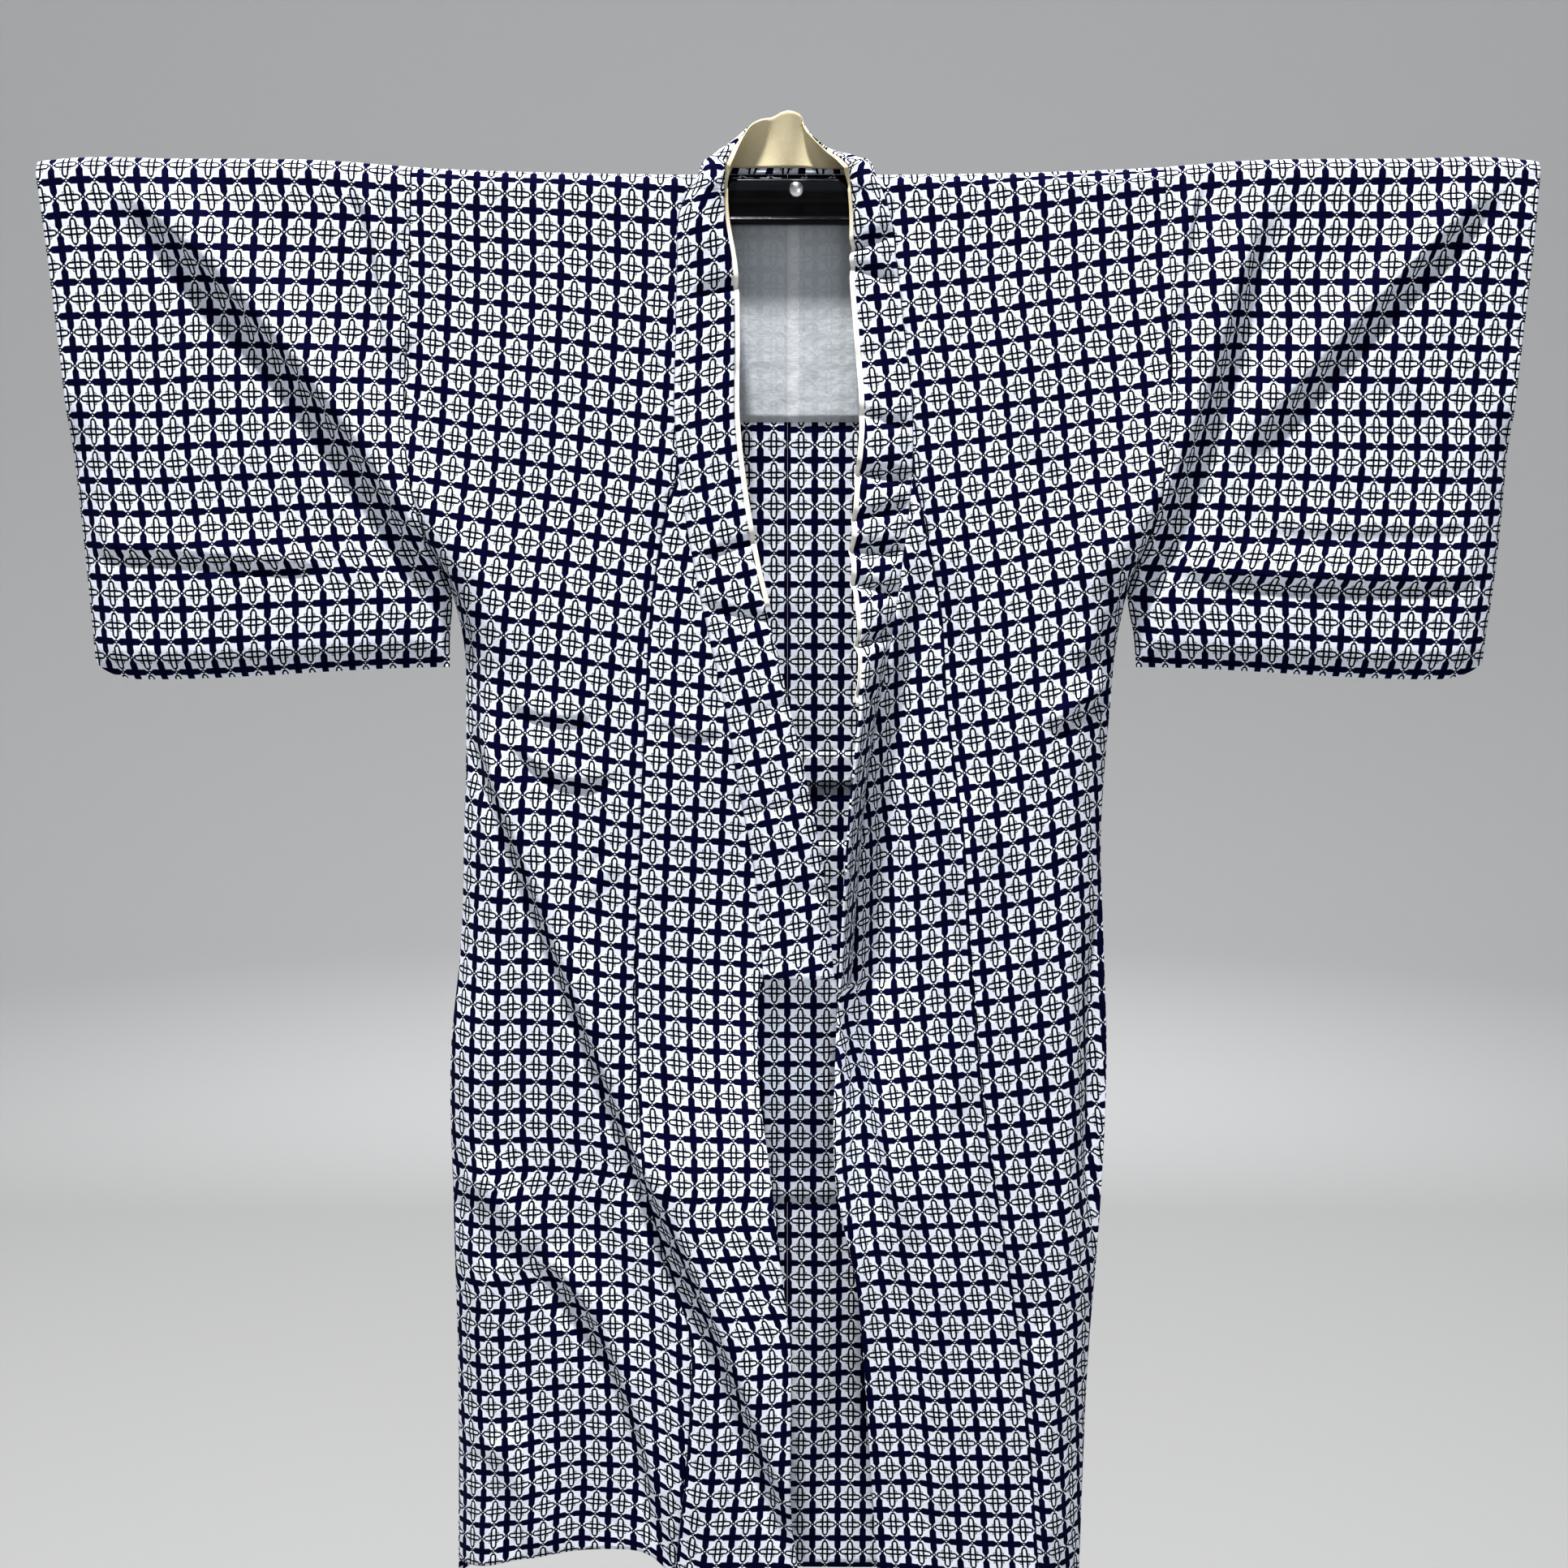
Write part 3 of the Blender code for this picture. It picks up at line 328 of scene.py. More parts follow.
# Collar: seam edge and free edge, and how far the free edge stands forward
CollarRow = namedtuple(
    "CollarRow", "z seam_left free_left seam_right free_right stand_left stand_right")
COLLAR_LINE = (
    CollarRow(0.0235, -0.0806, -0.0570, 0.0800, 0.0560, 0.004, 0.004),
    CollarRow(-0.0100, -0.0975, -0.0570, 0.0925, 0.0592, 0.004, 0.004),
    CollarRow(-0.0600, -0.1008, -0.0500, 0.1000, 0.0605, 0.002, 0.003),
    CollarRow(-0.1200, -0.1025, -0.0485, 0.1070, 0.0655, 0.001, 0.004),
    CollarRow(-0.2000, -0.1038, -0.0485, 0.1155, 0.0710, 0.001, 0.010),
    CollarRow(-0.2600, -0.0985, -0.0420, 0.1145, 0.0670, 0.001, 0.016),
    CollarRow(-0.3300, -0.0875, -0.0300, 0.1065, 0.0640, 0.001, 0.022),
    CollarRow(-0.4000, -0.0730, -0.0130, 0.0965, 0.0700, 0.001, 0.030),
    CollarRow(-0.4600, -0.0595, 0.0010, 0.0850, 0.0672, 0.001, 0.038),
    CollarRow(-0.5400, -0.0460, 0.0195, 0.0735, 0.0590, 0.002, 0.042),
    CollarRow(-0.6200, -0.0314, 0.0340, 0.0670, 0.0540, 0.003, 0.042),
    CollarRow(-0.7300, -0.0225, 0.0455, 0.0600, 0.0485, 0.004, 0.038),
)

# Seam between body and overlap panel
OkumiRow = namedtuple("OkumiRow", "z left right")
OKUMI_SEAM = (
    OkumiRow(-0.250, -0.1050, 0.1185),
    OkumiRow(-0.300, -0.1165, 0.1290),
    OkumiRow(-0.370, -0.1275, 0.1430),
    OkumiRow(-0.460, -0.1334, 0.1500),
    OkumiRow(-0.570, -0.1390, 0.1650),
    OkumiRow(-0.750, -0.1455, 0.1785),
    OkumiRow(-0.850, -0.1425, 0.1890),
    OkumiRow(-0.950, -0.1340, 0.2045),
    OkumiRow(-1.020, -0.1150, 0.2170),
    OkumiRow(-1.090, -0.0950, 0.2280),
    OkumiRow(-1.160, -0.0960, 0.2360),
    OkumiRow(-1.350, -0.1140, 0.2520),
)

# The cloth's own threads: how far outward they have leaned at each level, and
# how steeply the cross threads rise outward, on the left and on the right
GrainRow = namedtuple("GrainRow", "z lean_left lean_right rise_left rise_right")
GRAIN = (
    GrainRow(0.020, 0.000, 0.000, 0.030, 0.090),
    GrainRow(-0.090, 0.004, 0.011, 0.070, 0.100),
    GrainRow(-0.170, 0.009, 0.022, 0.090, 0.110),
    GrainRow(-0.250, 0.016, 0.031, 0.110, 0.150),
    GrainRow(-0.370, 0.031, 0.047, 0.115, 0.170),
    GrainRow(-0.460, 0.039, 0.055, 0.105, 0.170),
    GrainRow(-0.570, 0.046, 0.070, 0.085, 0.155),
    GrainRow(-0.750, 0.055, 0.087, 0.055, 0.110),
    GrainRow(-0.850, 0.057, 0.098, 0.035, 0.050),
    GrainRow(-0.950, 0.057, 0.112, 0.025, 0.010),
    GrainRow(-1.090, 0.055, 0.134, 0.015, -0.020),
    GrainRow(-1.350, 0.049, 0.158, 0.000, -0.080),
)
GRAIN_MIDDLE = 0.120

# A fold runs from point 0 through point 1 to point 2. Its steep side has the
# width near, its gentle side the width far; dip is the trough at its foot.
# The gentle side lies on the right of a line that runs down.
Fold = namedtuple("Fold", "x0 z0 x1 z1 x2 z2 near far height dip")
FRONT_FOLDS = (
    # left sleeve, wrist end of the bar down to the underarm and on to the body
    Fold(-0.618, 0.026, -0.430, -0.166, -0.254, -0.458, 0.0135, 0.040, 0.0170, 0.0060),
    Fold(-0.665, -0.314, -0.540, -0.320, -0.418, -0.332, 0.0060, 0.020, 0.0044, 0.0026),
    Fold(-0.392, 0.026, -0.372, -0.060, -0.366, -0.165, 0.0055, 0.012, 0.0056, 0.0030),
    Fold(-0.360, 0.024, -0.350, -0.060, -0.352, -0.150, 0.0050, 0.009, 0.0040, 0.0022),
    Fold(-0.330, 0.020, -0.322, -0.090, -0.330, -0.225, 0.0080, 0.012, 0.0026, 0.0014),
    # left body, side seam to the front edge at the hem
    Fold(-0.306, -0.440, -0.205, -0.728, -0.112, -0.975, 0.0075, 0.034, 0.0110, 0.0042),
    Fold(-0.158, -0.870, -0.068, -1.060, 0.030, -1.345, 0.0115, 0.042, 0.0160, 0.0060),
    Fold(-0.240, -0.995, -0.161, -1.115, -0.112, -1.345, 0.0085, 0.028, 0.0095, 0.0042),
    Fold(-0.318, -0.915, -0.272, -0.950, -0.240, -1.010, 0.0180, 0.024, 0.0055, 0.0030),
    Fold(-0.245, -1.000, -0.215, -1.020, -0.190, -1.075, 0.0120, 0.016, 0.0036, 0.0026),
    Fold(-0.300, -1.180, -0.262, -1.240, -0.246, -1.340, 0.0140, 0.024, 0.0050, 0.0020),
    # waist puckers on the left
    Fold(-0.262, -0.455, -0.222, -0.470, -0.180, -0.468, 0.0050, 0.012, 0.0030, 0.0026),
    Fold(-0.262, -0.486, -0.212, -0.528, -0.160, -0.520, 0.0050, 0.014, 0.0046, 0.0032),
    Fold(-0.160, -0.600, -0.182, -0.628, -0.196, -0.640, 0.0050, 0.012, 0.0024, 0.0020),
    Fold(-0.296, -0.380, -0.280, -0.500, -0.290, -0.620, 0.0080, 0.014, 0.0034, 0.0016),
    Fold(-0.120, -0.470, -0.090, -0.486, -0.060, -0.480, 0.0050, 0.012, 0.0018, 0.0016),
    # soft folds down from the shoulders beside the collar
    Fold(-0.128, 0.000, -0.118, -0.140, -0.134, -0.330, 0.0100, 0.022, 0.0038, 0.0014),
    Fold(-0.215, -0.030, -0.225, -0.130, -0.258, -0.240, 0.0120, 0.020, 0.0022, 0.0012),
    Fold(0.112, 0.000, 0.128, -0.180, 0.160, -0.420, 0.0130, 0.022, 0.0058, 0.0016),
    Fold(0.205, -0.040, 0.212, -0.150, 0.250, -0.260, 0.0110, 0.018, 0.0022, 0.0012),
    # right sleeve, bar down to the underarm; wrist end of the bar inwards
    Fold(0.290, -0.398, 0.372, -0.193, 0.430, 0.026, 0.0140, 0.038, 0.0170, 0.0065),
    Fold(0.400, -0.244, 0.530, -0.096, 0.654, 0.026, 0.0095, 0.026, 0.0100, 0.0046),
    Fold(0.354, -0.130, 0.362, -0.040, 0.374, 0.024, 0.0050, 0.012, 0.0062, 0.0032),
    Fold(0.350, -0.330, 0.510, -0.344, 0.662, -0.338, 0.0060, 0.022, 0.0052, 0.0030),
    Fold(0.430, -0.290, 0.540, -0.296, 0.655, -0.288, 0.0070, 0.014, 0.0018, 0.0012),
    Fold(0.560, -0.150, 0.600, -0.200, 0.610, -0.265, 0.0100, 0.016, 0.0020, 0.0010),
    # right body, beside the side seam and down the overlap panel's seam
    Fold(0.240, -0.486, 0.274, -0.459, 0.306, -0.444, 0.0055, 0.013, 0.0060, 0.0040),
    Fold(0.262, -0.420, 0.290, -0.395, 0.308, -0.360, 0.0060, 0.014, 0.0034, 0.0018),
    Fold(0.163, -0.520, 0.182, -0.760, 0.246, -1.180, 0.0100, 0.028, 0.0075, 0.0034),
    Fold(0.246, -1.060, 0.252, -1.200, 0.262, -1.340, 0.0100, 0.022, 0.0056, 0.0022),
    Fold(0.060, -0.705, 0.088, -0.840, 0.122, -1.010, 0.0080, 0.018, 0.0070, 0.0042),
    Fold(0.128, -0.980, 0.146, -1.130, 0.150, -1.320, 0.0110, 0.020, 0.0032, 0.0016),
    Fold(0.196, -0.560, 0.222, -0.640, 0.232, -0.740, 0.0100, 0.016, 0.0022, 0.0014),
    Fold(0.145, -0.690, 0.160, -0.780, 0.158, -0.880, 0.0070, 0.014, 0.0052, 0.0026),
)
BACK_FOLDS = (
    # sleeves, bar down to the underarm
    Fold(-0.606, 0.022, -0.440, -0.172, -0.284, -0.430, 0.0125, 0.036, 0.0125, 0.0050),
    Fold(-0.655, -0.296, -0.540, -0.316, -0.400, -0.322, 0.0070, 0.018, 0.0034, 0.0022),
    Fold(0.296, -0.412, 0.406, -0.202, 0.560, 0.022, 0.0125, 0.036, 0.0125, 0.0050),
    Fold(0.420, -0.320, 0.530, -0.330, 0.650, -0.318, 0.0070, 0.018, 0.0034, 0.0022),
    # body, from the side seams and the blades down to the hem
    Fold(-0.305, -0.455, -0.246, -0.700, -0.152, -0.985, 0.0100, 0.032, 0.0090, 0.0036),
    Fold(-0.205, -0.840, -0.150, -1.080, -0.128, -1.345, 0.0110, 0.030, 0.0085, 0.0034),
    Fold(-0.172, -0.040, -0.150, -0.260, -0.178, -0.520, 0.0130, 0.026, 0.0048, 0.0018),
    Fold(0.118, -0.060, 0.150, -0.330, 0.138, -0.640, 0.0130, 0.026, 0.0048, 0.0018),
    Fold(0.160, -0.610, 0.204, -0.900, 0.186, -1.345, 0.0110, 0.030, 0.0090, 0.0036),
    Fold(0.308, -0.450, 0.270, -0.560, 0.216, -0.650, 0.0080, 0.018, 0.0050, 0.0026),
    Fold(0.046, -0.720, 0.062, -1.000, 0.040, -1.345, 0.0120, 0.026, 0.0052, 0.0020),
    Fold(-0.246, -0.500, -0.205, -0.526, -0.150, -0.520, 0.0055, 0.013, 0.0028, 0.0020),
    Fold(0.140, -0.486, 0.200, -0.500, 0.256, -0.478, 0.0055, 0.013, 0.0028, 0.0020),
)


def smooth_line(value, table, column, key="z"):
    """Cubic Hermite curve through a table's rows, read at the given values."""
    knots = np.array([getattr(row, key) for row in table])
    heights = np.array([getattr(row, column) for row in table])
    if knots[0] > knots[-1]:
        knots, heights = knots[::-1], heights[::-1]
    slopes = np.gradient(heights, knots)
    value = np.clip(np.asarray(value, float), knots[0], knots[-1])
    cell = np.clip(np.searchsorted(knots, value) - 1, 0, len(knots) - 2)
    span = knots[cell + 1] - knots[cell]
    t = (value - knots[cell]) / span
    return (
        (2 * t**3 - 3 * t**2 + 1) * heights[cell]
        + (t**3 - 2 * t**2 + t) * span * slopes[cell]
        + (3 * t**2 - 2 * t**3) * heights[cell + 1]
        + (t**3 - t**2) * span * slopes[cell + 1])


def ease(value):
    """0 below 0, 1 above 1, and a smooth rise between: 3t^2 - 2t^3."""
    t = np.clip(value, 0.0, 1.0)
    return t * t * (3 - 2 * t)


def plump(value):
    """Quick rise from 0 that rounds off at 1: 1 - (1 - t)^2."""
    return 1 - (1 - np.clip(value, 0.0, 1.0)) ** 2


def swell(distance, width):
    """Bell curve, 1 at distance 0."""
    return np.exp(-((distance / width) ** 2))


def named(word, side):
    """Column of a table for one side."""
    return word + ("left" if side < 0 else "right")


def top_level(x):
    """Height of the cloth's fold over the bar and its arms."""
    return smooth_line(np.abs(x), TOP_LINE, "z", key="x")


FOLD_END_FADE = 0.22           # share of a fold's length over which each end fades
FOLD_FOOT = 2.1                # distance of the trough from the crest, in near widths


def fold_height(x, z, folds):
    """Sum of the folds' profiles, each a bell across the distance from its own
    curve, steeper on one side, with a trough at its foot and faded at its ends.
    """
    x, z = np.broadcast_arrays(np.asarray(x, float), np.asarray(z, float))
    total = np.zeros(x.shape)
    steps = np.linspace(0.0, 1.0, 13)
    for fold in folds:
        reach = 3.0 * max(fold.near * 1.7, fold.far)
        bend_x = 2 * fold.x1 - 0.5 * (fold.x0 + fold.x2)
        bend_z = 2 * fold.z1 - 0.5 * (fold.z0 + fold.z2)
        line_x = (1 - steps)**2 * fold.x0 + 2 * steps * (1 - steps) * bend_x + steps**2 * fold.x2
        line_z = (1 - steps)**2 * fold.z0 + 2 * steps * (1 - steps) * bend_z + steps**2 * fold.z2
        near = ((x > line_x.min() - reach) & (x < line_x.max() + reach)
                & (z > line_z.min() - reach) & (z < line_z.max() + reach))
        px, pz = x[near], z[near]
        nearest = np.full(px.shape, np.inf)
        side = np.zeros(px.shape)
        place = np.zeros(px.shape)
        for i in range(len(steps) - 1):
            run_x = line_x[i + 1] - line_x[i]
            run_z = line_z[i + 1] - line_z[i]
            length = math.hypot(run_x, run_z)
            along = ((px - line_x[i]) * run_x + (pz - line_z[i]) * run_z) / length**2
            held = np.clip(along, 0.0, 1.0)
            gap = np.hypot(px - line_x[i] - held * run_x, pz - line_z[i] - held * run_z)
            cross = (run_x * (pz - line_z[i]) - run_z * (px - line_x[i])) / length
            closer = gap < nearest
            nearest = np.where(closer, gap, nearest)
            side = np.where(closer, cross, side)
            place = np.where(closer, (i + held) / (len(steps) - 1), place)
        distance = np.where(side >= 0, nearest, -nearest)
        width = np.where(side >= 0, fold.far, fold.near)
        crest = fold.height * swell(distance, width)
        foot = fold.dip * swell(distance + FOLD_FOOT * fold.near, fold.near)
        fade = ease(place / FOLD_END_FADE) * ease((1 - place) / FOLD_END_FADE)
        total[near] += fade * (crest - foot)
    return total


def side_line(z, side):
    """X of the body's armhole seam and side seam."""
    return smooth_line(z, SIDE_LINE, named("", side))


def seam_depth(z):
    """Half depth along the armhole seam, closing at the underarm and below."""
    return PINCH + (TOP_ROUND - PINCH) * ease((z - UNDERARM) / UNDERARM_CLOSING)


def body_depth(x, z, front):
    """Half depth of the body's front or back wall."""
    middle = smooth_line(z, HALF_DEPTH, "body")
    edge = np.where(x < 0, side_line(z, -1), side_line(z, 1))
    inward = np.abs(edge) - np.abs(x)
    turn = SIDE_TURN_WIDTH * np.exp(-(((z - SIDE_TURN_LEVEL) / SIDE_TURN_SPAN) ** 4))
    turned = np.where((x > 0) & front, turn, 0.0)
    rise = plump((inward - turned) / (BODY_EDGE_RUN - 1.2 * turned))
    return seam_depth(z) + (middle - seam_depth(z)) * rise


FOLD_TOP_RUN = 0.045           # drop below the bar over which folds grow
FOLD_ROOM = 0.010              # half depth beyond the pinch over which folds grow
FOLD_CLEAR = 0.0060            # half depth that a trough leaves free
FOLD_DEEPEST = 0.35            # deepest trough, as a share of the half depth


def wall_y(depth, x, z, front):
    """Y of a wall's outer face: its half depth and folds, never through the other wall."""
    drop = top_level(x) - z
    folds = fold_height(x, z, FRONT_FOLDS if front else BACK_FOLDS)
    room = np.clip((depth - PINCH) / FOLD_ROOM, 0.0, 1.0)
    folds = np.maximum(folds * room * ease(drop / FOLD_TOP_RUN), -(depth - FOLD_CLEAR) * room)
    folds = np.maximum(folds, -FOLD_DEEPEST * depth)
    return -(depth + folds) if front else depth + folds


def front_face(x, z):
    """Y of the front wall's outer face."""
    return wall_y(body_depth(x, z, True), x, z, True)


def back_face(x, z):
    """Y of the back wall's outer face."""
    return wall_y(body_depth(x, z, False), x, z, False)


def over_the_bar(x, turn):
    """Y, Z and inward direction on the rounded top. Turn is 1 at the back of the
    bar, 0 on top and -1 in front. Behind the neck the cloth stands straight up.
    """
    angle = turn * math.pi / 2
    neck = 1 - ease((np.abs(x) - NECK_STRAIGHT_HALF) / NECK_STRAIGHT_RUN)
    behind = np.where(turn >= 0, neck, 0.0)
    y_round = TOP_ROUND * np.sin(angle)
    z_round = top_level(x) - TOP_ROUND * (1 - np.cos(angle))
    z_straight = top_level(x) - TOP_ROUND + (1 - turn) * (NECK_BACK_RISE - NECK_LEVEL + TOP_ROUND)
    y = y_round * (1 - behind) + TOP_ROUND * behind
    z = z_round * (1 - behind) + z_straight * behind
    in_y = -np.sin(angle) * (1 - behind) - behind
    in_z = -np.cos(angle) * (1 - behind)
    size = np.hypot(in_y, in_z)
    return y, z, in_y / size, in_z / size


def hem_bell(x):
    """Share of the left hem's lift: a bell, wide towards the side, steep at the fold."""
    apart = x - HEM_LIFT_X
    to_side, to_fold = HEM_LIFT_RUN
    return np.where(apart < 0, swell(apart, to_side), np.exp(-((apart / to_fold) ** 4)))


def hem_level(x, front):
    """Height of the hem, drawn up at the left."""
    return HEM_LEVEL + (HEM_LIFT if front else HEM_LIFT_BACK) * hem_bell(x)


def row_height(x, row, front):
    """Height of a row at x. A row is a share down to the underarm, or a level below it."""
    quarter = top_level(x) - TOP_ROUND
    above = quarter + (UNDERARM - quarter) * row
    drop = (UNDERARM - row) / (UNDERARM - HEM_LEVEL)
    below = UNDERARM + (hem_level(x, front) - UNDERARM) * drop
    return np.where(row >= 0, above, below)


def collar_edge(row, side):
    """X of the collar seam in rows of the front, found by going back and forth
    between the seam's line and the row's height.
    """
    x = np.full(row.shape, side * 0.5 * NECK_HALF)
    for _ in range(4):
        x = smooth_line(row_height(x, row, True), COLLAR_LINE, named("seam_", side))
    return x


def panel_seam(row, side):
    """X of the body's inner edge: the collar seam, and below it the panel's seam."""
    edge = collar_edge(row, side)
    x = edge
    for _ in range(4):
        x = smooth_line(row_height(x, row, True), OKUMI_SEAM, named("", side))
    blend = np.where(row >= 0, np.clip((TIP_SHARE - row) / -TIP_BLEND, 0.0, 1.0), 1.0)
    start = edge + side * OKUMI_TIP_WIDTH
    return np.where((row >= 0) & (row < TIP_SHARE), edge, start + (x - start) * blend)


def grain_at(x, z, side, front):
    """Place on the cloth's own threads: across from the centre back, down from the top."""
    share = 1.0 if front else ease((z + 0.30) / 0.30)
    across = side * x - (smooth_line(z, GRAIN, named("lean_", side)) if front else 0.0)
    rise = smooth_line(z if front else 0 * z, GRAIN, named("rise_", side)) * share
    low = np.clip((UNDERARM - z) / (UNDERARM - HEM_LEVEL), 0.0, 1.0) ** 3
    drawn = (hem_level(x, front) - HEM_LEVEL) * low
    return across, top_level(x) - z + drawn + rise * (np.abs(x) - GRAIN_MIDDLE)


def groove(points, edges, depth=0.0011, width=0.0038):
    """Sinks the cloth beside a seam: y moves inward by a bell of the distance to the edge."""
    sink = sum(swell(points[..., 0] - edge, width) for edge in edges) * depth
    points[..., 1] -= np.sign(points[..., 1]) * sink


BODY_RIPPLE = 0.0010


def ripple(x, z, seed):
    """Slow unevenness of hung cloth, from -1 to 1: three crossing sine waves."""
    return (
        np.sin(23.0 * x + 9.0 * z + seed) + np.sin(-11.0 * x + 31.0 * z + 2.1 * seed)
        + np.sin(41.0 * x - 17.0 * z + 3.7 * seed)) / 3.0


front_rows = np.concatenate([
    np.linspace(0.0, 1.0, 101),
    np.linspace(UNDERARM, COLLAR_END, 93)[1:],
    np.linspace(COLLAR_END, COLLAR_FOOT, 5)[1:],
    np.linspace(COLLAR_FOOT, HEM_LEVEL, 153)[1:]])
back_rows = np.concatenate([
    np.linspace(0.0, SHOULDER_LINING_SHARE, 27), np.linspace(SHOULDER_LINING_SHARE, 1.0, 20)[1:],
    np.linspace(UNDERARM, TUCK_TOP, 16)[1:], np.linspace(TUCK_TOP, TUCK_EDGE, 6)[1:],
    np.linspace(TUCK_EDGE, SEAT_LINING_TOP, 6)[1:],
    np.linspace(SEAT_LINING_TOP, SEAT_LINING_END, 38)[1:],
    np.linspace(SEAT_LINING_END, HEM_LEVEL, 38)[1:]])
round_turns = np.linspace(0.9, -0.9, 13)
BODY_COLUMNS = 82
NECK_COLUMNS = 14
body_share = np.linspace(0.0, 1.0, BODY_COLUMNS + 1)
body_share = body_share - 0.055 * np.sin(2 * np.pi * body_share)
neck_share = np.linspace(0.0, 1.0, NECK_COLUMNS + 1)[:-1]


def across_columns(start, inner, outer):
    """X of a body's columns: the neck's share from start to the inner edge, the rest out."""
    start, inner, outer = (np.asarray(v, float)[:, None] for v in (start, inner, outer))
    return np.concatenate(
        [start + (inner - start) * neck_share, inner + (outer - inner) * body_share], axis=1)


def body_points(side):
    """Outer points, inward directions and grain of one length, from the back hem
    over the bar to the front hem, and from the centre back out to the side.
    """
    centre = side * SEAM_GAP / 2

    def side_x(row, front):
        """X of the length's outer edge in a row."""
        arm_x = np.full(row.shape, side * ARMHOLE_X)
        return side_line(row_height(arm_x, row, front), side) - centre

    row = back_rows[::-1]
    x = across_columns(np.full(row.shape, centre), np.full(row.shape, side * NECK_HALF),
                       side_x(row, False))
    z = row_height(x, row[:, None], False)
    back = np.stack([x, back_face(x, z), z], -1)
    back_in = np.broadcast_to((0.0, -1.0, 0.0), back.shape)
    u, v = grain_at(x, z, side, False)
    quarter = TOP_ROUND * math.pi / 2
    back_grain = np.stack([u, -(v - TOP_ROUND) - quarter], -1)

    turn = round_turns
    seam_z = NECK_LEVEL - TOP_ROUND * (1 - np.cos(turn * math.pi / 2))
    collar = smooth_line(seam_z, COLLAR_LINE, named("seam_", side)) + centre
    inner = np.where(turn < 0, collar, side * NECK_HALF + centre)
    x = across_columns(np.full(turn.shape, centre), inner,
                       np.full(turn.shape, side_x(np.zeros(1), True)[0]))
    y, z, in_y, in_z = over_the_bar(x, turn[:, None])
    bend = np.stack([x, y, z], -1)
    bend_in = np.stack([0 * x, in_y, in_z], -1)
    rise = smooth_line(0.02, GRAIN, named("rise_", side)) * (np.abs(x) - GRAIN_MIDDLE)
    bend_grain = np.stack([side * x, -quarter * turn[:, None] + rise * -turn[:, None]], -1)

    row = front_rows
    x = across_columns(np.zeros(row.shape), panel_seam(row, side) + centre, side_x(row, True))
    z = row_height(x, row[:, None], True)
    front = np.stack([x, front_face(x, z), z], -1)
    front_in = np.broadcast_to((0.0, 1.0, 0.0), front.shape)
    u, v = grain_at(x, z, side, True)
    front_grain = np.stack([u, v - TOP_ROUND + quarter], -1)
    return (np.concatenate([back, bend, front]), np.concatenate([back_in, bend_in, front_in]),
            np.concatenate([back_grain, bend_grain, front_grain]))


SLACK_DROPPED = 0.5            # share counted of the cloth taken up from row to row


def slack_grain(points, grain, start_column, even=False):
    """Adds to the grain the extra cloth that folds take up: for each step the
    length of the step less its length seen from in front, summed from a column.
    Even takes each sum's share of the whole off again, as between two seams.
    """
    step = np.diff(points, axis=1)
    extra = np.linalg.norm(step, axis=2) - np.hypot(step[..., 0], step[..., 2])
    run = np.concatenate([np.zeros((len(points), 1)), np.cumsum(extra, axis=1)], axis=1)
    run -= run[:, start_column:start_column + 1]
    drop = np.diff(points, axis=0)
    deep = np.linalg.norm(drop, axis=2) - np.hypot(drop[..., 0], drop[..., 2])
    fall = np.concatenate([np.zeros((1, points.shape[1])), np.cumsum(deep, axis=0)])
    fall *= SLACK_DROPPED
    if even:
        run -= run[:, -1:] * np.linspace(0.0, 1.0, points.shape[1])
        fall -= fall[-1:] * np.linspace(0.0, 1.0, len(points))[:, None]
    return grain + np.stack([run, fall], -1)


def cloth_wall(name, outer, inward, wall, outward, grain, finish, present=None, loop=False):
    """Closed thin wall: the outer grid, the same grid moved inward by the wall, and
    a rim round every free border. Cells that are not present are left out.
    """
    rows, columns = outer.shape[:2]
    inner = outer + inward * wall
    points = np.concatenate([outer.reshape(-1, 3), inner.reshape(-1, 3)])
    at = np.arange(rows * columns).reshape(rows, columns)
    low = np.roll(at, -1, axis=0) if loop else at[1:]
    top = at if loop else at[:-1]
    quads = np.stack([top[:, :-1], low[:, :-1], low[:, 1:], top[:, 1:]], -1)
    below = np.concatenate([grain[1:], grain[:1]])[:len(top)] if grain.ndim == 3 else grain[1]
    above = grain[:len(top)] if grain.ndim == 3 else grain[0]
    corner = np.stack([above[:, :-1], below[:, :-1], below[:, 1:], above[:, 1:]], -2)
    if present is not None:
        quads, corner = quads[present], corner[present]
    quads, corner = quads.reshape(-1, 4), corner.reshape(-1, 4, 2)
    if outward < 0:
        quads, corner = quads[:, ::-1], corner[:, ::-1]
    ends = np.stack([quads, np.roll(quads, -1, axis=1)], -1).reshape(-1, 2)
    key = ends[:, 0] * (rows * columns) + ends[:, 1]
    back_key = ends[:, 1] * (rows * columns) + ends[:, 0]
    free = ~np.isin(key, back_key)
    a, b = ends[free].T
    corner_a = corner.reshape(-1, 2)[free]
    corner_b = np.roll(corner, -1, axis=1).reshape(-1, 2)[free]
    layer = rows * columns
    rim = np.stack([b, a, a + layer, b + layer], -1)
    rim_corner = np.stack([corner_b, corner_a, corner_a, corner_b], -2)
    quads = np.concatenate([quads, quads[:, ::-1] + layer, rim])
    corner = np.concatenate([corner, corner[:, ::-1], rim_corner])
    return grid_mesh(name, points, quads, finish, corner)


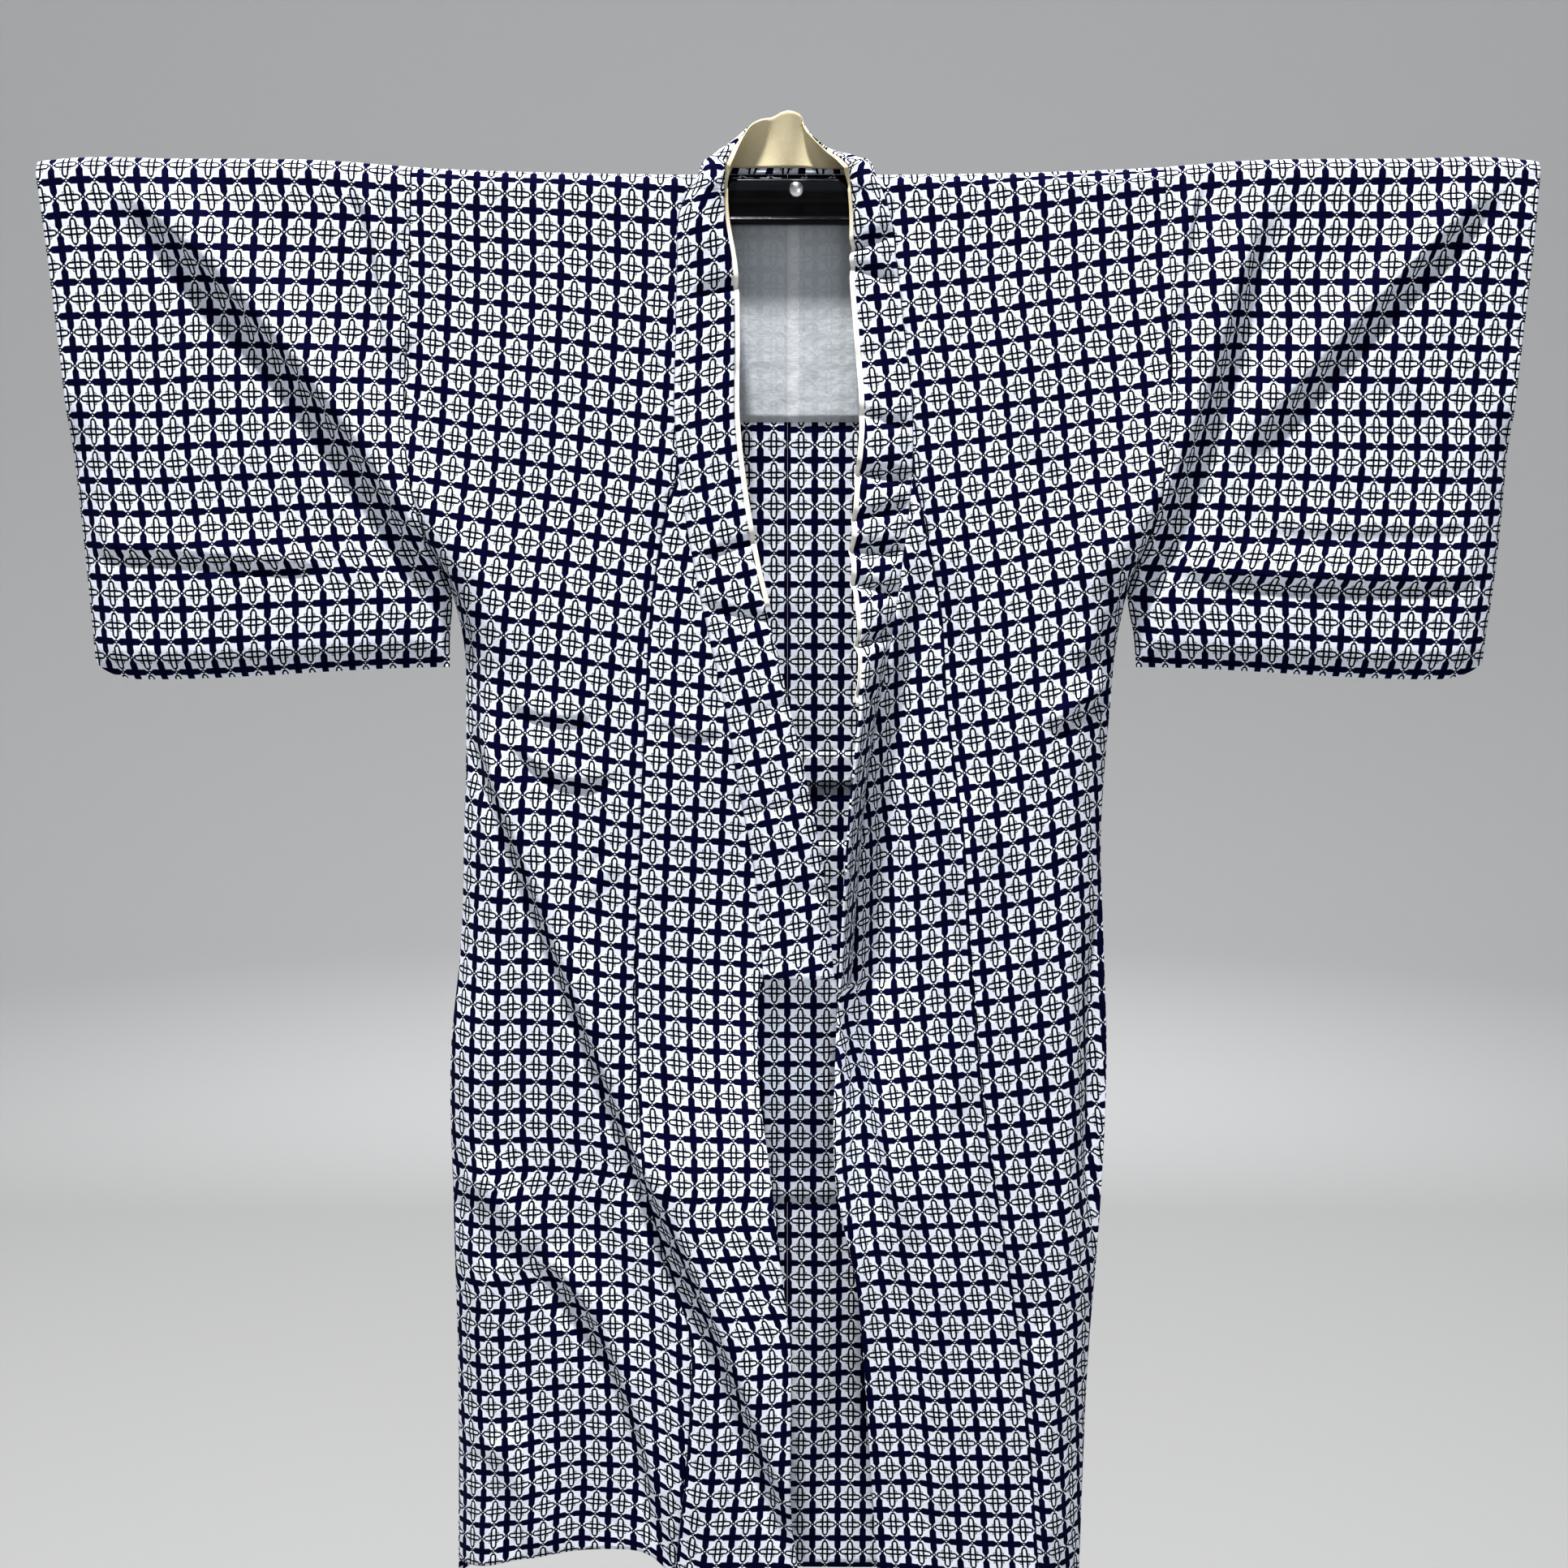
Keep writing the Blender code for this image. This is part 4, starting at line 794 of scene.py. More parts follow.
PRINT_CELL = (0.0257, 0.0295)
NAVY = (0.0040, 0.0036, 0.058, 1.0)
NAVY_DEEP = (0.0020, 0.0018, 0.030, 1.0)
OUTLINE = (0.0015, 0.0015, 0.008, 1.0)
COTTON_WHITE = (0.80, 0.84, 0.92, 1.0)
WHITE_HALF = (0.376, 0.390)
WHITE_FLARED = 0.480
FLARE_FROM = 0.170
FLARE_RUN = 0.13
LOOP_HALF = 0.130
LOOP_END = 0.425
LOOP_BLUNTNESS = 7.0
EYE_HALF = (0.346, 0.350)
EYE_END_RADIUS = 0.056
EYE_BULGE = 0.006
DOT = 0.031
DOT_RING = 0.024
RING_AT = (0.152, 0.148)
RING_RADIUS = 0.040
RING_LINE = 0.017
RING_STRENGTH = 0.8
EDGE = 0.022
SEAM_STRIP = 0.011


def printed_cotton(name, faint=0.0):
    """Plain-woven cotton, dyed through with a small repeat: on white, a navy cross
    between cells, two long loops across each cell, dots where the cells meet.
    Faint is how much of the print a covering cloth hides.
    """
    finish = Finish(name, specular_ior_level=0.14, sheen_weight=0.03, sheen_roughness=0.4)
    grain = finish.node("ShaderNodeUVMap", {"uv_map": "grain"})
    drift = finish.node(
        "ShaderNodeTexNoise", {}, {"Vector": grain, "Scale": 210.0, "Detail": 2.0}, output=1)
    drift = finish.node("ShaderNodeVectorMath", {"operation": "SUBTRACT"}, (drift, (0.5,) * 3))
    drift = finish.node("ShaderNodeVectorMath", {"operation": "SCALE"}, {0: drift, 3: 0.0010})
    drawn = finish.node("ShaderNodeVectorMath", {"operation": "ADD"}, (grain, drift))
    axis = [
        finish.node("ShaderNodeSeparateXYZ", {}, (drawn,), output=i) * (1.0 / PRINT_CELL[i])
        for i in (0, 1)]
    a, b = (abs(value.math("FRACT") - 0.5) for value in axis)

    def below(value, limit):
        """1 where the value is under the limit, with a soft edge."""
        return ((limit - value) * (1.0 / EDGE) + 0.5).held()

    def flare(value, narrow, wide):
        """Limit that widens from narrow to wide towards the cell's middle line."""
        return ((FLARE_FROM - value) * (1.0 / FLARE_RUN)).held() * (wide - narrow) + narrow

    def distance(x, y, stretch_x=1.0, stretch_y=1.0):
        """Square root of the sum of squares, each axis stretched first."""
        return ((x * stretch_x).power(2.0) + (y * stretch_y).power(2.0)).math("SQRT")

    def loop(across, along, end, eye):
        """Outline of a long loop: inside a blunt lens, outside a round-ended eye."""
        lens = below(across, (1.0 - (along * (1.0 / end)).power(LOOP_BLUNTNESS)) * LOOP_HALF)
        straight = eye - EYE_END_RADIUS
        radius = (1.0 - (along * (1.0 / straight)).power(2.0)).most(0.0) * EYE_BULGE
        apart = distance(across, (along - straight).most(0.0))
        return lens * (1.0 - below(apart, radius + EYE_END_RADIUS))

    white = below(a, flare(b, WHITE_HALF[0], WHITE_FLARED)) * below(
        b, flare(a, WHITE_HALF[1], WHITE_FLARED))
    tall = PRINT_CELL[1] / PRINT_CELL[0]
    lines = loop(a, b * tall, LOOP_END * tall, EYE_HALF[0] * tall).most(
        loop(b * tall, a, LOOP_END, EYE_HALF[1]))
    dot = distance(0.5 - a, b, 1.0, tall).least(distance(a, 0.5 - b, 1.0, tall))
    white = white.most(below(dot, DOT))
    lines = lines * (1.0 - below(dot, DOT + DOT_RING))
    lines = lines.most(below(abs(dot - DOT - DOT_RING), DOT_RING))
    ring = distance(a - RING_AT[0], b - RING_AT[1], 1.0, tall)
    small = below(abs(ring - RING_RADIUS), RING_LINE) * RING_STRENGTH

    depth = finish.noise(grain, 95.0, detail=4.0, roughness=0.65)
    ink = finish.mix(((depth - 0.35) * 2.2).held(), NAVY_DEEP, NAVY)
    ground = finish.mix(white, ink, COTTON_WHITE)
    ground = finish.mix(small, ground, NAVY)
    colour = finish.mix(lines, ground, OUTLINE)
    if faint:
        colour = finish.mix(faint, colour, lined_white(finish, grain))
    finish.feed("Base Color", colour)
    finish.feed("Roughness", 0.92 - white * 0.06)
    cloth_relief(finish, grain)
    return finish


def lined_white(finish, grain):
    """White of the shoulder lining, doubled and so lighter along its centre seam."""
    across = finish.node("ShaderNodeSeparateXYZ", {}, (grain,)) - SEAM_STRIP / 2
    inside = ((SEAM_STRIP / 2 - abs(across)) * 900.0 + 0.5).held()
    return finish.mix(inside, (0.56, 0.59, 0.62, 1.0), (0.68, 0.70, 0.72, 1.0))


def cloth_relief(finish, grain):
    """Bump of plain-woven cotton: slubs along both thread directions, soft rumples."""
    across = finish.node("ShaderNodeMapping", {}, {0: grain, 3: (90.0, 1500.0, 1.0)})
    along = finish.node("ShaderNodeMapping", {}, {0: grain, 3: (1500.0, 90.0, 1.0)})
    threads = finish.noise(across, 1.0, detail=1.0) + finish.noise(along, 1.0, detail=1.0)
    rumples = finish.noise(grain, 34.0, detail=3.0, roughness=0.55)
    finish.bump(threads * 0.06 + rumples, 0.0022, 0.9)


cotton = printed_cotton("printed_cotton")
for word, side in (("left", -1), ("right", 1)):
    outer, inward, grain = body_points(side)
    outward_y = np.sign(outer[..., 1])
    outer[..., 1] += BODY_RIPPLE * ripple(outer[..., 0], outer[..., 2], side) * outward_y
    groove(outer, (outer[:, -1:, 0],))
    front = outer[len(back_rows) + len(round_turns):]
    groove(front, (front[:, NECK_COLUMNS:NECK_COLUMNS + 1, 0],))
    grain = slack_grain(outer, grain, NECK_COLUMNS)
    present = np.ones((len(outer) - 1, outer.shape[1] - 1), bool)
    present[len(back_rows) + len(round_turns) // 2:, :NECK_COLUMNS] = False
    piece = cloth_wall(
        "body_%s_cotton" % word, outer, inward, WALL, side, grain, cotton, present)
    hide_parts("body_" + word)


# ------------------------------------------------------------ overlap panels
# Long narrow panels sewn to the inner edge of each front below the collar. A
# wearer laps the left one over the right. Hung open, the right one's inner
# edge curls forward where the collar ends.

OKUMI_CURL = 0.016
OKUMI_CURL_WIDTH = 0.012
OKUMI_CURL_LEVEL = -0.66
OKUMI_CURL_SPAN = 0.34
OKUMI_CURL_TOP = -0.235
OKUMI_CURL_START = 0.16
OKUMI_HOLLOW = 0.85
OKUMI_HOLLOW_AT = 0.026
OKUMI_HOLLOW_WIDTH = 0.014
OKUMI_COLUMNS = 30

EdgeRow = namedtuple("EdgeRow", "z left right")
FRONT_EDGE = (
    EdgeRow(-0.735, -0.0280, 0.0480),
    EdgeRow(-0.810, -0.0285, 0.0450),
    EdgeRow(-0.930, -0.0150, 0.0470),
    EdgeRow(-1.030, -0.0040, 0.0670),
    EdgeRow(-1.090, 0.0030, 0.0730),
    EdgeRow(-1.190, 0.0033, 0.0800),
    EdgeRow(-1.270, 0.0045, 0.0856),
    EdgeRow(-1.350, 0.0135, 0.0910),
)


def okumi_face(x, z, side, inner):
    """Front face of an overlap panel. The right one curls forward at its inner edge,
    by a bell over its height and one across it, with a hollow beside the curl.
    """
    y = front_face(x, z)
    if side > 0:
        curl = OKUMI_CURL * swell(z - OKUMI_CURL_LEVEL, OKUMI_CURL_SPAN)
        curl = curl * ease((OKUMI_CURL_TOP - z) / OKUMI_CURL_START)
        from_edge = x - inner
        y = y + OKUMI_HOLLOW * curl * swell(from_edge - OKUMI_HOLLOW_AT, OKUMI_HOLLOW_WIDTH)
        y = y - curl * swell(from_edge, OKUMI_CURL_WIDTH)
    return y


def free_edge(row, side):
    """X of the overlap panel's inner edge: along the collar, then the front's free edge."""
    front = smooth_line(row_height(np.zeros(row.shape), row, True), FRONT_EDGE, named("", side))
    share = np.clip((COLLAR_END - row) / (COLLAR_END - COLLAR_FOOT), 0.0, 1.0)
    share = np.where(row >= 0, 0.0, share)
    return collar_edge(row, side) * (1 - share) + front * share


okumi_rows = front_rows[(front_rows <= 1.0) & ((front_rows < 0) | (front_rows >= TIP_SHARE))]
for word, side in (("left", -1), ("right", 1)):
    edge = free_edge(okumi_rows, side)
    inner = edge + side * SEAM_GAP / 2
    seam = panel_seam(okumi_rows, side) - side * SEAM_GAP / 2
    share = np.linspace(0.0, 1.0, OKUMI_COLUMNS + 1)
    x = inner[:, None] + (seam - inner)[:, None] * share
    z = row_height(x, okumi_rows[:, None], True)
    y = okumi_face(x, z, side, edge[:, None]) - BODY_RIPPLE * ripple(x, z, side)
    outer = np.stack([x, y, z], -1)
    groove(outer, (seam[:, None],))
    _, v = grain_at(x, z, side, True)
    quarter = TOP_ROUND * math.pi / 2
    grain = np.stack([-np.abs(seam[:, None] - x), v - TOP_ROUND + quarter], -1)
    piece = cloth_wall(
        "okumi_%s_cotton" % word, outer, np.broadcast_to((0.0, 1.0, 0.0), outer.shape), WALL,
        side, slack_grain(outer, grain, OKUMI_COLUMNS), cotton)
    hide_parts("okumi_" + word)


# ------------------------------------------------------------------- sleeves
# Wide rectangles of the same cotton, each folded over an arm of the hanger.
# They are sewn along the bottom and up the lower part of the wrist edge, with a
# rounded corner, and left open at the wrist above it.

SLEEVE_WIDTH = 0.338
SLEEVE_BOTTOM = -0.4285
SLEEVE_BOTTOM_FALL = 0.0115
SLEEVE_EDGE_RUN = 0.040
WRIST_SEAM_TOP = -0.205
WRIST_HALF_DEPTH = 0.0125
CORNER_RUN = 0.045
CORNER_RISE = 0.022
CORNER_FULLNESS = 0.96
SLEEVE_SHUT_RUN = 0.030
SLEEVE_RIPPLE = 0.0009
SLEEVE_PRINT_START = 0.4

SleeveRow = namedtuple("SleeveRow", "z inner_left inner_right wrist_left wrist_right")
SLEEVE_ENDS = (
    SleeveRow(0.035, -0.3415, 0.3425, -0.6852, 0.6855),
    SleeveRow(-0.040, -0.3450, 0.3480, -0.6780, 0.6825),
    SleeveRow(-0.120, -0.3500, 0.3515, -0.6720, 0.6770),
    SleeveRow(-0.220, -0.3525, 0.3505, -0.6655, 0.6708),
    SleeveRow(-0.300, -0.3380, 0.3390, -0.6605, 0.6675),
    SleeveRow(-0.358, -0.3163, 0.3203, -0.6575, 0.6635),
    SleeveRow(-0.400, -0.3190, 0.3272, -0.6555, 0.6590),
    SleeveRow(-0.440, -0.3200, 0.3310, -0.6535, 0.6560),
)


def sleeve_fold(u):
    """Height of the straight fold at a sleeve's bottom, before its corner is rounded."""
    return SLEEVE_BOTTOM - SLEEVE_BOTTOM_FALL * ease(u / 0.85)


def sleeve_bottom(u):
    """Height of a sleeve's lower edge, from its inner end (0) to the wrist (1)."""
    level = sleeve_fold(u)
    round_off = np.clip(1 - (1 - u) * SLEEVE_WIDTH / CORNER_RUN, 0.0, 1.0)
    return level + CORNER_RISE * (1 - np.sqrt(1 - CORNER_FULLNESS * round_off**2))


def sleeve_depth(u, z):
    """Half depth of a sleeve: open at the armhole and wrist, shut where it is sewn."""
    middle = smooth_line(z, HALF_DEPTH, "sleeve")
    wrist = PINCH + (WRIST_HALF_DEPTH - PINCH) * ease((z - WRIST_SEAM_TOP + 0.030) / 0.060)
    near_arm = 1 - plump(u * SLEEVE_WIDTH / SLEEVE_EDGE_RUN)
    near_wrist = 1 - plump((1 - u) * SLEEVE_WIDTH / SLEEVE_EDGE_RUN)
    depth = middle - (middle - seam_depth(z)) * near_arm - (middle - wrist) * near_wrist
    shut = plump((z - sleeve_bottom(u)) / SLEEVE_SHUT_RUN)
    return PINCH + (np.maximum(depth, PINCH) - PINCH) * shut


def sleeve_points(side):
    """Outer points, inward directions and grain of a sleeve: down the front, up the
    back and over the arm, from the armhole out to the wrist. The print's rows
    follow the top at the arm and the straight fold at the bottom.
    """
    u = np.linspace(0.0, 1.0, 111)
    u = u - 0.03 * np.sin(2 * np.pi * u)
    arm = np.linspace(0.0, 1.0, 131)
    low = 1 - (1 - np.linspace(0.0, 1.0, 29)[1:]) ** 1.4
    steps = np.concatenate([
        np.stack([arm, 0 * arm], 1), np.stack([1 + 0 * low, low], 1)])

    def level_points(steps, front):
        """Points of rows given as a share down to the underarm, then one below it."""
        arm_share, low_share = steps[:, :1], steps[:, 1:]
        seam_z = row_height(np.full(arm_share.shape, side * ARMHOLE_X), arm_share, front)
        x_top = side * (ARMHOLE_X + SLEEVE_WIDTH * u)[None]
        quarter = top_level(x_top) - TOP_ROUND
        z = quarter + (UNDERARM - quarter) * arm_share
        z = z + (sleeve_bottom(u) - UNDERARM) * low_share
        z[:, :1] = seam_z + (sleeve_bottom(u)[0] - UNDERARM) * low_share
        sewn = smooth_line(z, SLEEVE_ENDS, named("inner_", side))
        inner = np.where(low_share > 0, sewn, side_line(z, side)) + side * SEAM_GAP / 2
        x = inner + (smooth_line(z, SLEEVE_ENDS, named("wrist_", side)) - inner) * u
        y = wall_y(sleeve_depth(u[None], z), x, z, front)
        y = y + (-1 if front else 1) * SLEEVE_RIPPLE * ripple(x, z, 2 * side)
        points = np.stack([x, y, z], -1)
        groove(points, (x[:, :1],))
        return points

    front = level_points(steps, True)
    back = level_points(steps[::-1], False)
    top = level_points(np.zeros((1, 2)), True)[0]
    angle = (round_turns * math.pi / 2)[:, None]
    bend = np.stack([
        top[None, :, 0] + 0 * angle, sleeve_depth(u, top[:, 2]) * np.sin(angle),
        top[None, :, 2] + TOP_ROUND * np.cos(angle)], -1)
    closing = (steps[:, 1] == 1.0).astype(float)[:, None]
    ones = np.ones((len(steps), len(u)))
    inward = np.concatenate([
        np.stack([0 * ones, ones, closing * ones], -1),
        np.stack([0 * ones, -ones, closing[::-1] * ones], -1),
        np.stack([0 * bend[..., 0], -np.sin(angle) + 0 * bend[..., 0],
                  -np.cos(angle) + 0 * bend[..., 0]], -1)])
    quarter = TOP_ROUND * math.pi / 2
    drop = top[:, 2] - sleeve_fold(u)
    fall = [(top[None, :, 2] - part[..., 2]) * drop.mean() / drop for part in (front, back)]
    level = [fall[0] + quarter, -fall[1] - quarter,
             -quarter * angle * 2 / math.pi + 0 * bend[..., 0]]
    across = u[None] * SLEEVE_WIDTH + SLEEVE_PRINT_START * PRINT_CELL[0]
    front_grain, back_grain, bend_grain = (
        np.stack([across + 0 * down, down], -1) for down in level)
    above = np.concatenate([
        slack_grain(front, front_grain, 0, True),
        slack_grain(back[::-1], back_grain[::-1], 0, True)[::-1], bend_grain])
    below = np.concatenate([above[1:], above[:1]])
    turned = len(front) - 1
    below[turned] = above[turned]
    return np.concatenate([front, back, bend]), inward, np.stack([above, below])


for word, side in (("left", -1), ("right", 1)):
    outer, inward, grain = sleeve_points(side)
    piece = cloth_wall(
        "sleeve_%s_cotton" % word, outer, inward, WALL, side, grain, cotton, loop=True)
    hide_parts("sleeve_" + word)


# -------------------------------------------------------------------- collar
# One long band folded double. It is sewn round the back of the neck and down
# both fronts onto the overlap panels. A cream cotton lining faces its inside
# and shows as a narrow edge.

COLLAR_WALL = 0.0022
PRINT_LEAN = (0.22, 0.11)
COLLAR_LAP = 0.0006
COLLAR_PROUD = 0.0023
COLLAR_COLUMNS = 18
COLLAR_LINING_LEFT_END = -0.372
COLLAR_LINING_RIGHT_END = -0.460
COLLAR_PRINT_START = 0.004
FRONT_BULGE = 0.002
FRONT_BULGE_RISE = 0.006
FRONT_BULGE_RUN = 0.10
SHOULDER_BULGE = 0.009
TRIM_SHARES = np.array([0.4, 0.8, 1.0])
TRIM_REACH = 0.0050
TRIM_WALL = 0.0008
TRIM_GAP = 0.0003
TRIM_TURN = 0.0009

# Round the back of the neck, from the left shoulder point to the right one
NeckRow = namedtuple("NeckRow", "seam_x free_x free_y free_z bulge")
NECK_LINE = (
    NeckRow(-0.0800, -0.0560, -0.0200, 0.0330, 0.0100),
    NeckRow(-0.0700, -0.0500, -0.0100, 0.0480, 0.0090),
    NeckRow(-0.0560, -0.0410, 0.0000, 0.0620, 0.0070),
    NeckRow(-0.0360, -0.0280, 0.0080, 0.0695, 0.0040),
    NeckRow(-0.0140, -0.0120, 0.0120, 0.0720, 0.0020),
    NeckRow(0.0000, 0.0000, 0.0060, 0.0765, 0.0000),
    NeckRow(0.0140, 0.0120, 0.0120, 0.0730, 0.0020),
    NeckRow(0.0360, 0.0220, 0.0080, 0.0600, 0.0040),
    NeckRow(0.0560, 0.0390, 0.0000, 0.0460, 0.0070),
    NeckRow(0.0700, 0.0490, -0.0100, 0.0385, 0.0090),
    NeckRow(0.0795, 0.0550, -0.0200, 0.0310, 0.0100),
)

# Creases across the band, on the left (-1) and on the right (1)
CollarCrease = namedtuple("CollarCrease", "side z tilt start width depth")
COLLAR_CREASES = (
    CollarCrease(-1, -0.083, 0.010, 0.30, 0.0048, 0.0055),
    CollarCrease(-1, -0.146, -0.016, 0.10, 0.0070, 0.0012),
    CollarCrease(-1, -0.320, 0.020, 0.15, 0.0050, 0.0050),
    CollarCrease(-1, -0.377, -0.012, 0.05, 0.0050, 0.0045),
    CollarCrease(-1, -0.470, 0.018, 0.20, 0.0060, 0.0018),
    CollarCrease(-1, -0.560, 0.014, 0.00, 0.0060, 0.0016),
    CollarCrease(-1, -0.640, -0.010, 0.10, 0.0070, 0.0014),
    CollarCrease(1, -0.037, -0.012, 0.00, 0.0050, 0.0055),
    CollarCrease(1, -0.067, 0.010, 0.00, 0.0050, 0.0050),
    CollarCrease(1, -0.135, -0.014, 0.05, 0.0060, 0.0016),
    CollarCrease(1, -0.200, 0.012, 0.00, 0.0055, 0.0040),
    CollarCrease(1, -0.249, 0.006, 0.00, 0.0060, 0.0085),
    CollarCrease(1, -0.282, -0.010, 0.00, 0.0050, 0.0060),
    CollarCrease(1, -0.317, 0.004, 0.00, 0.0065, 0.0095),
    CollarCrease(1, -0.352, 0.012, 0.00, 0.0050, 0.0065),
    CollarCrease(1, -0.396, -0.008, 0.00, 0.0060, 0.0070),
    CollarCrease(1, -0.452, 0.010, 0.10, 0.0050, 0.0022),
)


def collar_stations():
    """Seam edge, free edge, bulge and inward direction at the seam, along the band:
    up the left front, round the left shoulder, the neck, and down the right.
    """
    rows = front_rows[(front_rows >= COLLAR_END) & ((front_rows >= 0) | (front_rows < UNDERARM))]
    turns = round_turns[round_turns < 0]

    def front_part(side):
        """Down a front: the free edge stands forward of the seam."""
        edge = collar_edge(rows, side)
        z = row_height(edge, rows, True)
        on_panel = (rows < 0) | (rows >= TIP_SHARE)
        y = np.where(on_panel, okumi_face(edge, z, side, edge), front_face(edge, z)) - COLLAR_LAP
        stand = smooth_line(z, COLLAR_LINE, named("stand_", side))
        seam = np.stack([edge - side * SEAM_GAP / 2, y, z], 1)
        free = np.stack([smooth_line(z, COLLAR_LINE, named("free_", side)), y - stand, z], 1)
        bulge = FRONT_BULGE + FRONT_BULGE_RISE * ease((z + FRONT_BULGE_RUN) / FRONT_BULGE_RUN)
        return seam, free, bulge, np.tile((0.0, 1.0, 0.0), (len(rows), 1))

    def shoulder_part(side):
        """Over the bar beside the neck, blended from the front's edge to the neck's."""
        level = NECK_LEVEL - TOP_ROUND * (1 - np.cos(turns * math.pi / 2))
        x = smooth_line(level, COLLAR_LINE, named("seam_", side)) - side * 2 * SEAM_GAP
        y, z, in_y, in_z = over_the_bar(x, turns)
        seam = np.stack([x, y - in_y * COLLAR_PROUD, z - in_z * COLLAR_PROUD], 1)
        low = row_height(x, 0.0 * x, True)
        front = np.stack([
            smooth_line(low, COLLAR_LINE, named("free_", side)),
            -TOP_ROUND - smooth_line(low, COLLAR_LINE, named("stand_", side)), low], 1)
        end = NECK_LINE[0] if side < 0 else NECK_LINE[-1]
        behind = np.array([end.free_x, end.free_y, end.free_z])
        share = (1 + turns)[:, None]
        free = front * (1 - share) + behind * share
        inward = np.stack([0 * x, in_y, in_z], 1)
        return seam, free, np.full(x.shape, SHOULDER_BULGE), inward

    def neck_part():
        """Behind the neck, where the band stands up."""
        x = np.linspace(-NECK_HALF, NECK_HALF, 2 * NECK_COLUMNS + 1)
        y, z, _, _ = over_the_bar(x, 0 * x)
        behind = y / TOP_ROUND
        inward = np.stack([-np.sign(x) * (1 - behind), -behind - 0.05, 0 * x], 1)
        inward /= np.linalg.norm(inward, axis=1, keepdims=True)
        free = np.stack([
            smooth_line(x, NECK_LINE, word, key="seam_x")
            for word in ("free_x", "free_y", "free_z")], 1)
        seam = np.stack([x, y, z + SEAM_GAP], 1)
        return seam, free, smooth_line(x, NECK_LINE, "bulge", key="seam_x"), inward

    left, right = ([front_part(side), shoulder_part(side)] for side in (-1, 1))
    parts = [[a[::-1] for a in left[0]], [a[::-1] for a in left[1]], neck_part(),
             right[1], right[0]]
    return [np.concatenate(arrays) for arrays in zip(*parts)]


def collar_points():
    """Outer points and inward directions of the collar, bowed out by the bulge."""
    seam, free, bulge, seam_in = collar_stations()
    chord = free - seam
    out = -np.cross(np.gradient(0.5 * (seam + free), axis=0), chord)
    out /= np.linalg.norm(out, axis=1, keepdims=True)
    share = np.linspace(0.0, 1.0, COLLAR_COLUMNS + 1)[None, :, None]
    bow = 4 * share * (1 - share) * bulge[:, None, None]
    outer = seam[:, None, :] + chord[:, None, :] * share + out[:, None, :] * bow
    inward = np.cross(np.gradient(outer, axis=0), np.gradient(outer, axis=1))
    inward /= np.linalg.norm(inward, axis=2, keepdims=True)
    hold = ease(share / 0.10)
    inward = seam_in[:, None, :] * (1 - hold) + inward * hold
    inward /= np.linalg.norm(inward, axis=2, keepdims=True)
    half = np.where(np.arange(len(outer)) < len(outer) // 2, -1, 1)[:, None]
    across = share[..., 0]
    for crease in COLLAR_CREASES:
        line = outer[..., 2] - crease.z - crease.tilt * (across - 0.5)
        dent = crease.depth * swell(line, crease.width) * (half == crease.side)
        dent = dent * ease((across - crease.start) / 0.25 + 0.2)
        outer = outer + inward * dent[..., None]
    return outer, inward


outer, inward = collar_points()
step = np.linalg.norm(np.diff(outer[:, COLLAR_COLUMNS // 2], axis=0), axis=1)
length = np.concatenate([[0.0], np.cumsum(step)])
across = np.linalg.norm(np.diff(outer, axis=1), axis=2)
across = np.concatenate([np.zeros((len(outer), 1)), np.cumsum(across, axis=1)], axis=1)
lean = np.where(np.arange(len(outer)) < len(outer) // 2, *PRINT_LEAN)[:, None]
grain = np.stack([across + COLLAR_PRINT_START, length[:, None] - lean * across], -1)
piece = cloth_wall("collar_cotton", outer, inward, COLLAR_WALL, -1, grain, cotton)
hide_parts("collar")

cream = Finish("cream_lining", roughness=0.88, sheen_weight=0.1)
spot = cream.noise(cream.place(), 60.0, detail=3.0)
# Painted shade: from z -0.010 up, the lining turns a darker, yellower cream that stands for the
# shade inside the neck. From z -0.040 down it keeps its own light cream, where the trim shows. The
# blotches in the darker cream are the cloth's own uneven tone.
height = cream.node("ShaderNodeSeparateXYZ", {}, (cream.place(),), output=2)
clear_of_painted_shade = ((-0.010 - height) * (1.0 / 0.030)).held()
neck = cream.mix(spot, (0.66, 0.58, 0.38, 1.0), (0.80, 0.73, 0.54, 1.0))
cream.feed("Base Color", cream.mix(clear_of_painted_shade, neck, (0.90, 0.88, 0.82, 1.0)))
cream.bump(cream.noise(cream.place(), 900.0, detail=2.0), 0.0003, 0.6)

face = outer + inward * (COLLAR_WALL + TRIM_GAP)
chord = outer[:, -1] - outer[:, -2]
chord = chord / np.linalg.norm(chord, axis=1, keepdims=True)
trim = face[:, -1:] + chord[:, None, :] * TRIM_SHARES[None, :, None] * TRIM_REACH
trim[:, -1] -= inward[:, -1] * TRIM_TURN
face = np.concatenate([face[:, 2:], trim], axis=1)
back = np.concatenate([inward[:, 2:], np.repeat(inward[:, -1:], 3, axis=1)], axis=1)
place = np.arange(len(outer))
level = outer[:, 0, 2]
keep = np.where(
    place < len(outer) // 2, level > COLLAR_LINING_LEFT_END, level > COLLAR_LINING_RIGHT_END)
grain = np.concatenate([across[:, 2:], across[:, -1:] + np.array([0.001, 0.002, 0.003])], axis=1)
grain = np.stack([grain, length[:, None] + 0 * grain], -1)
piece = cloth_wall(
    "collar_lining_cotton", face[keep], back[keep], TRIM_WALL, -1, grain[keep], cream)
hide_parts("collar_lining")


# ------------------------------------------------- linings inside the back
# A white cotton lining hangs from the shoulders, with the print showing through
# it faintly. Below it a tuck is sewn in at the waist, and a seat lining of the
# same printed cotton covers the back down to knee height.

LINING_HALF = 0.262
LINING_GAP = 0.0004
LINING_WALL = 0.0006
TUCK_WALL = 0.0024

halves = {side: body_points(side) for side in (-1, 1)}


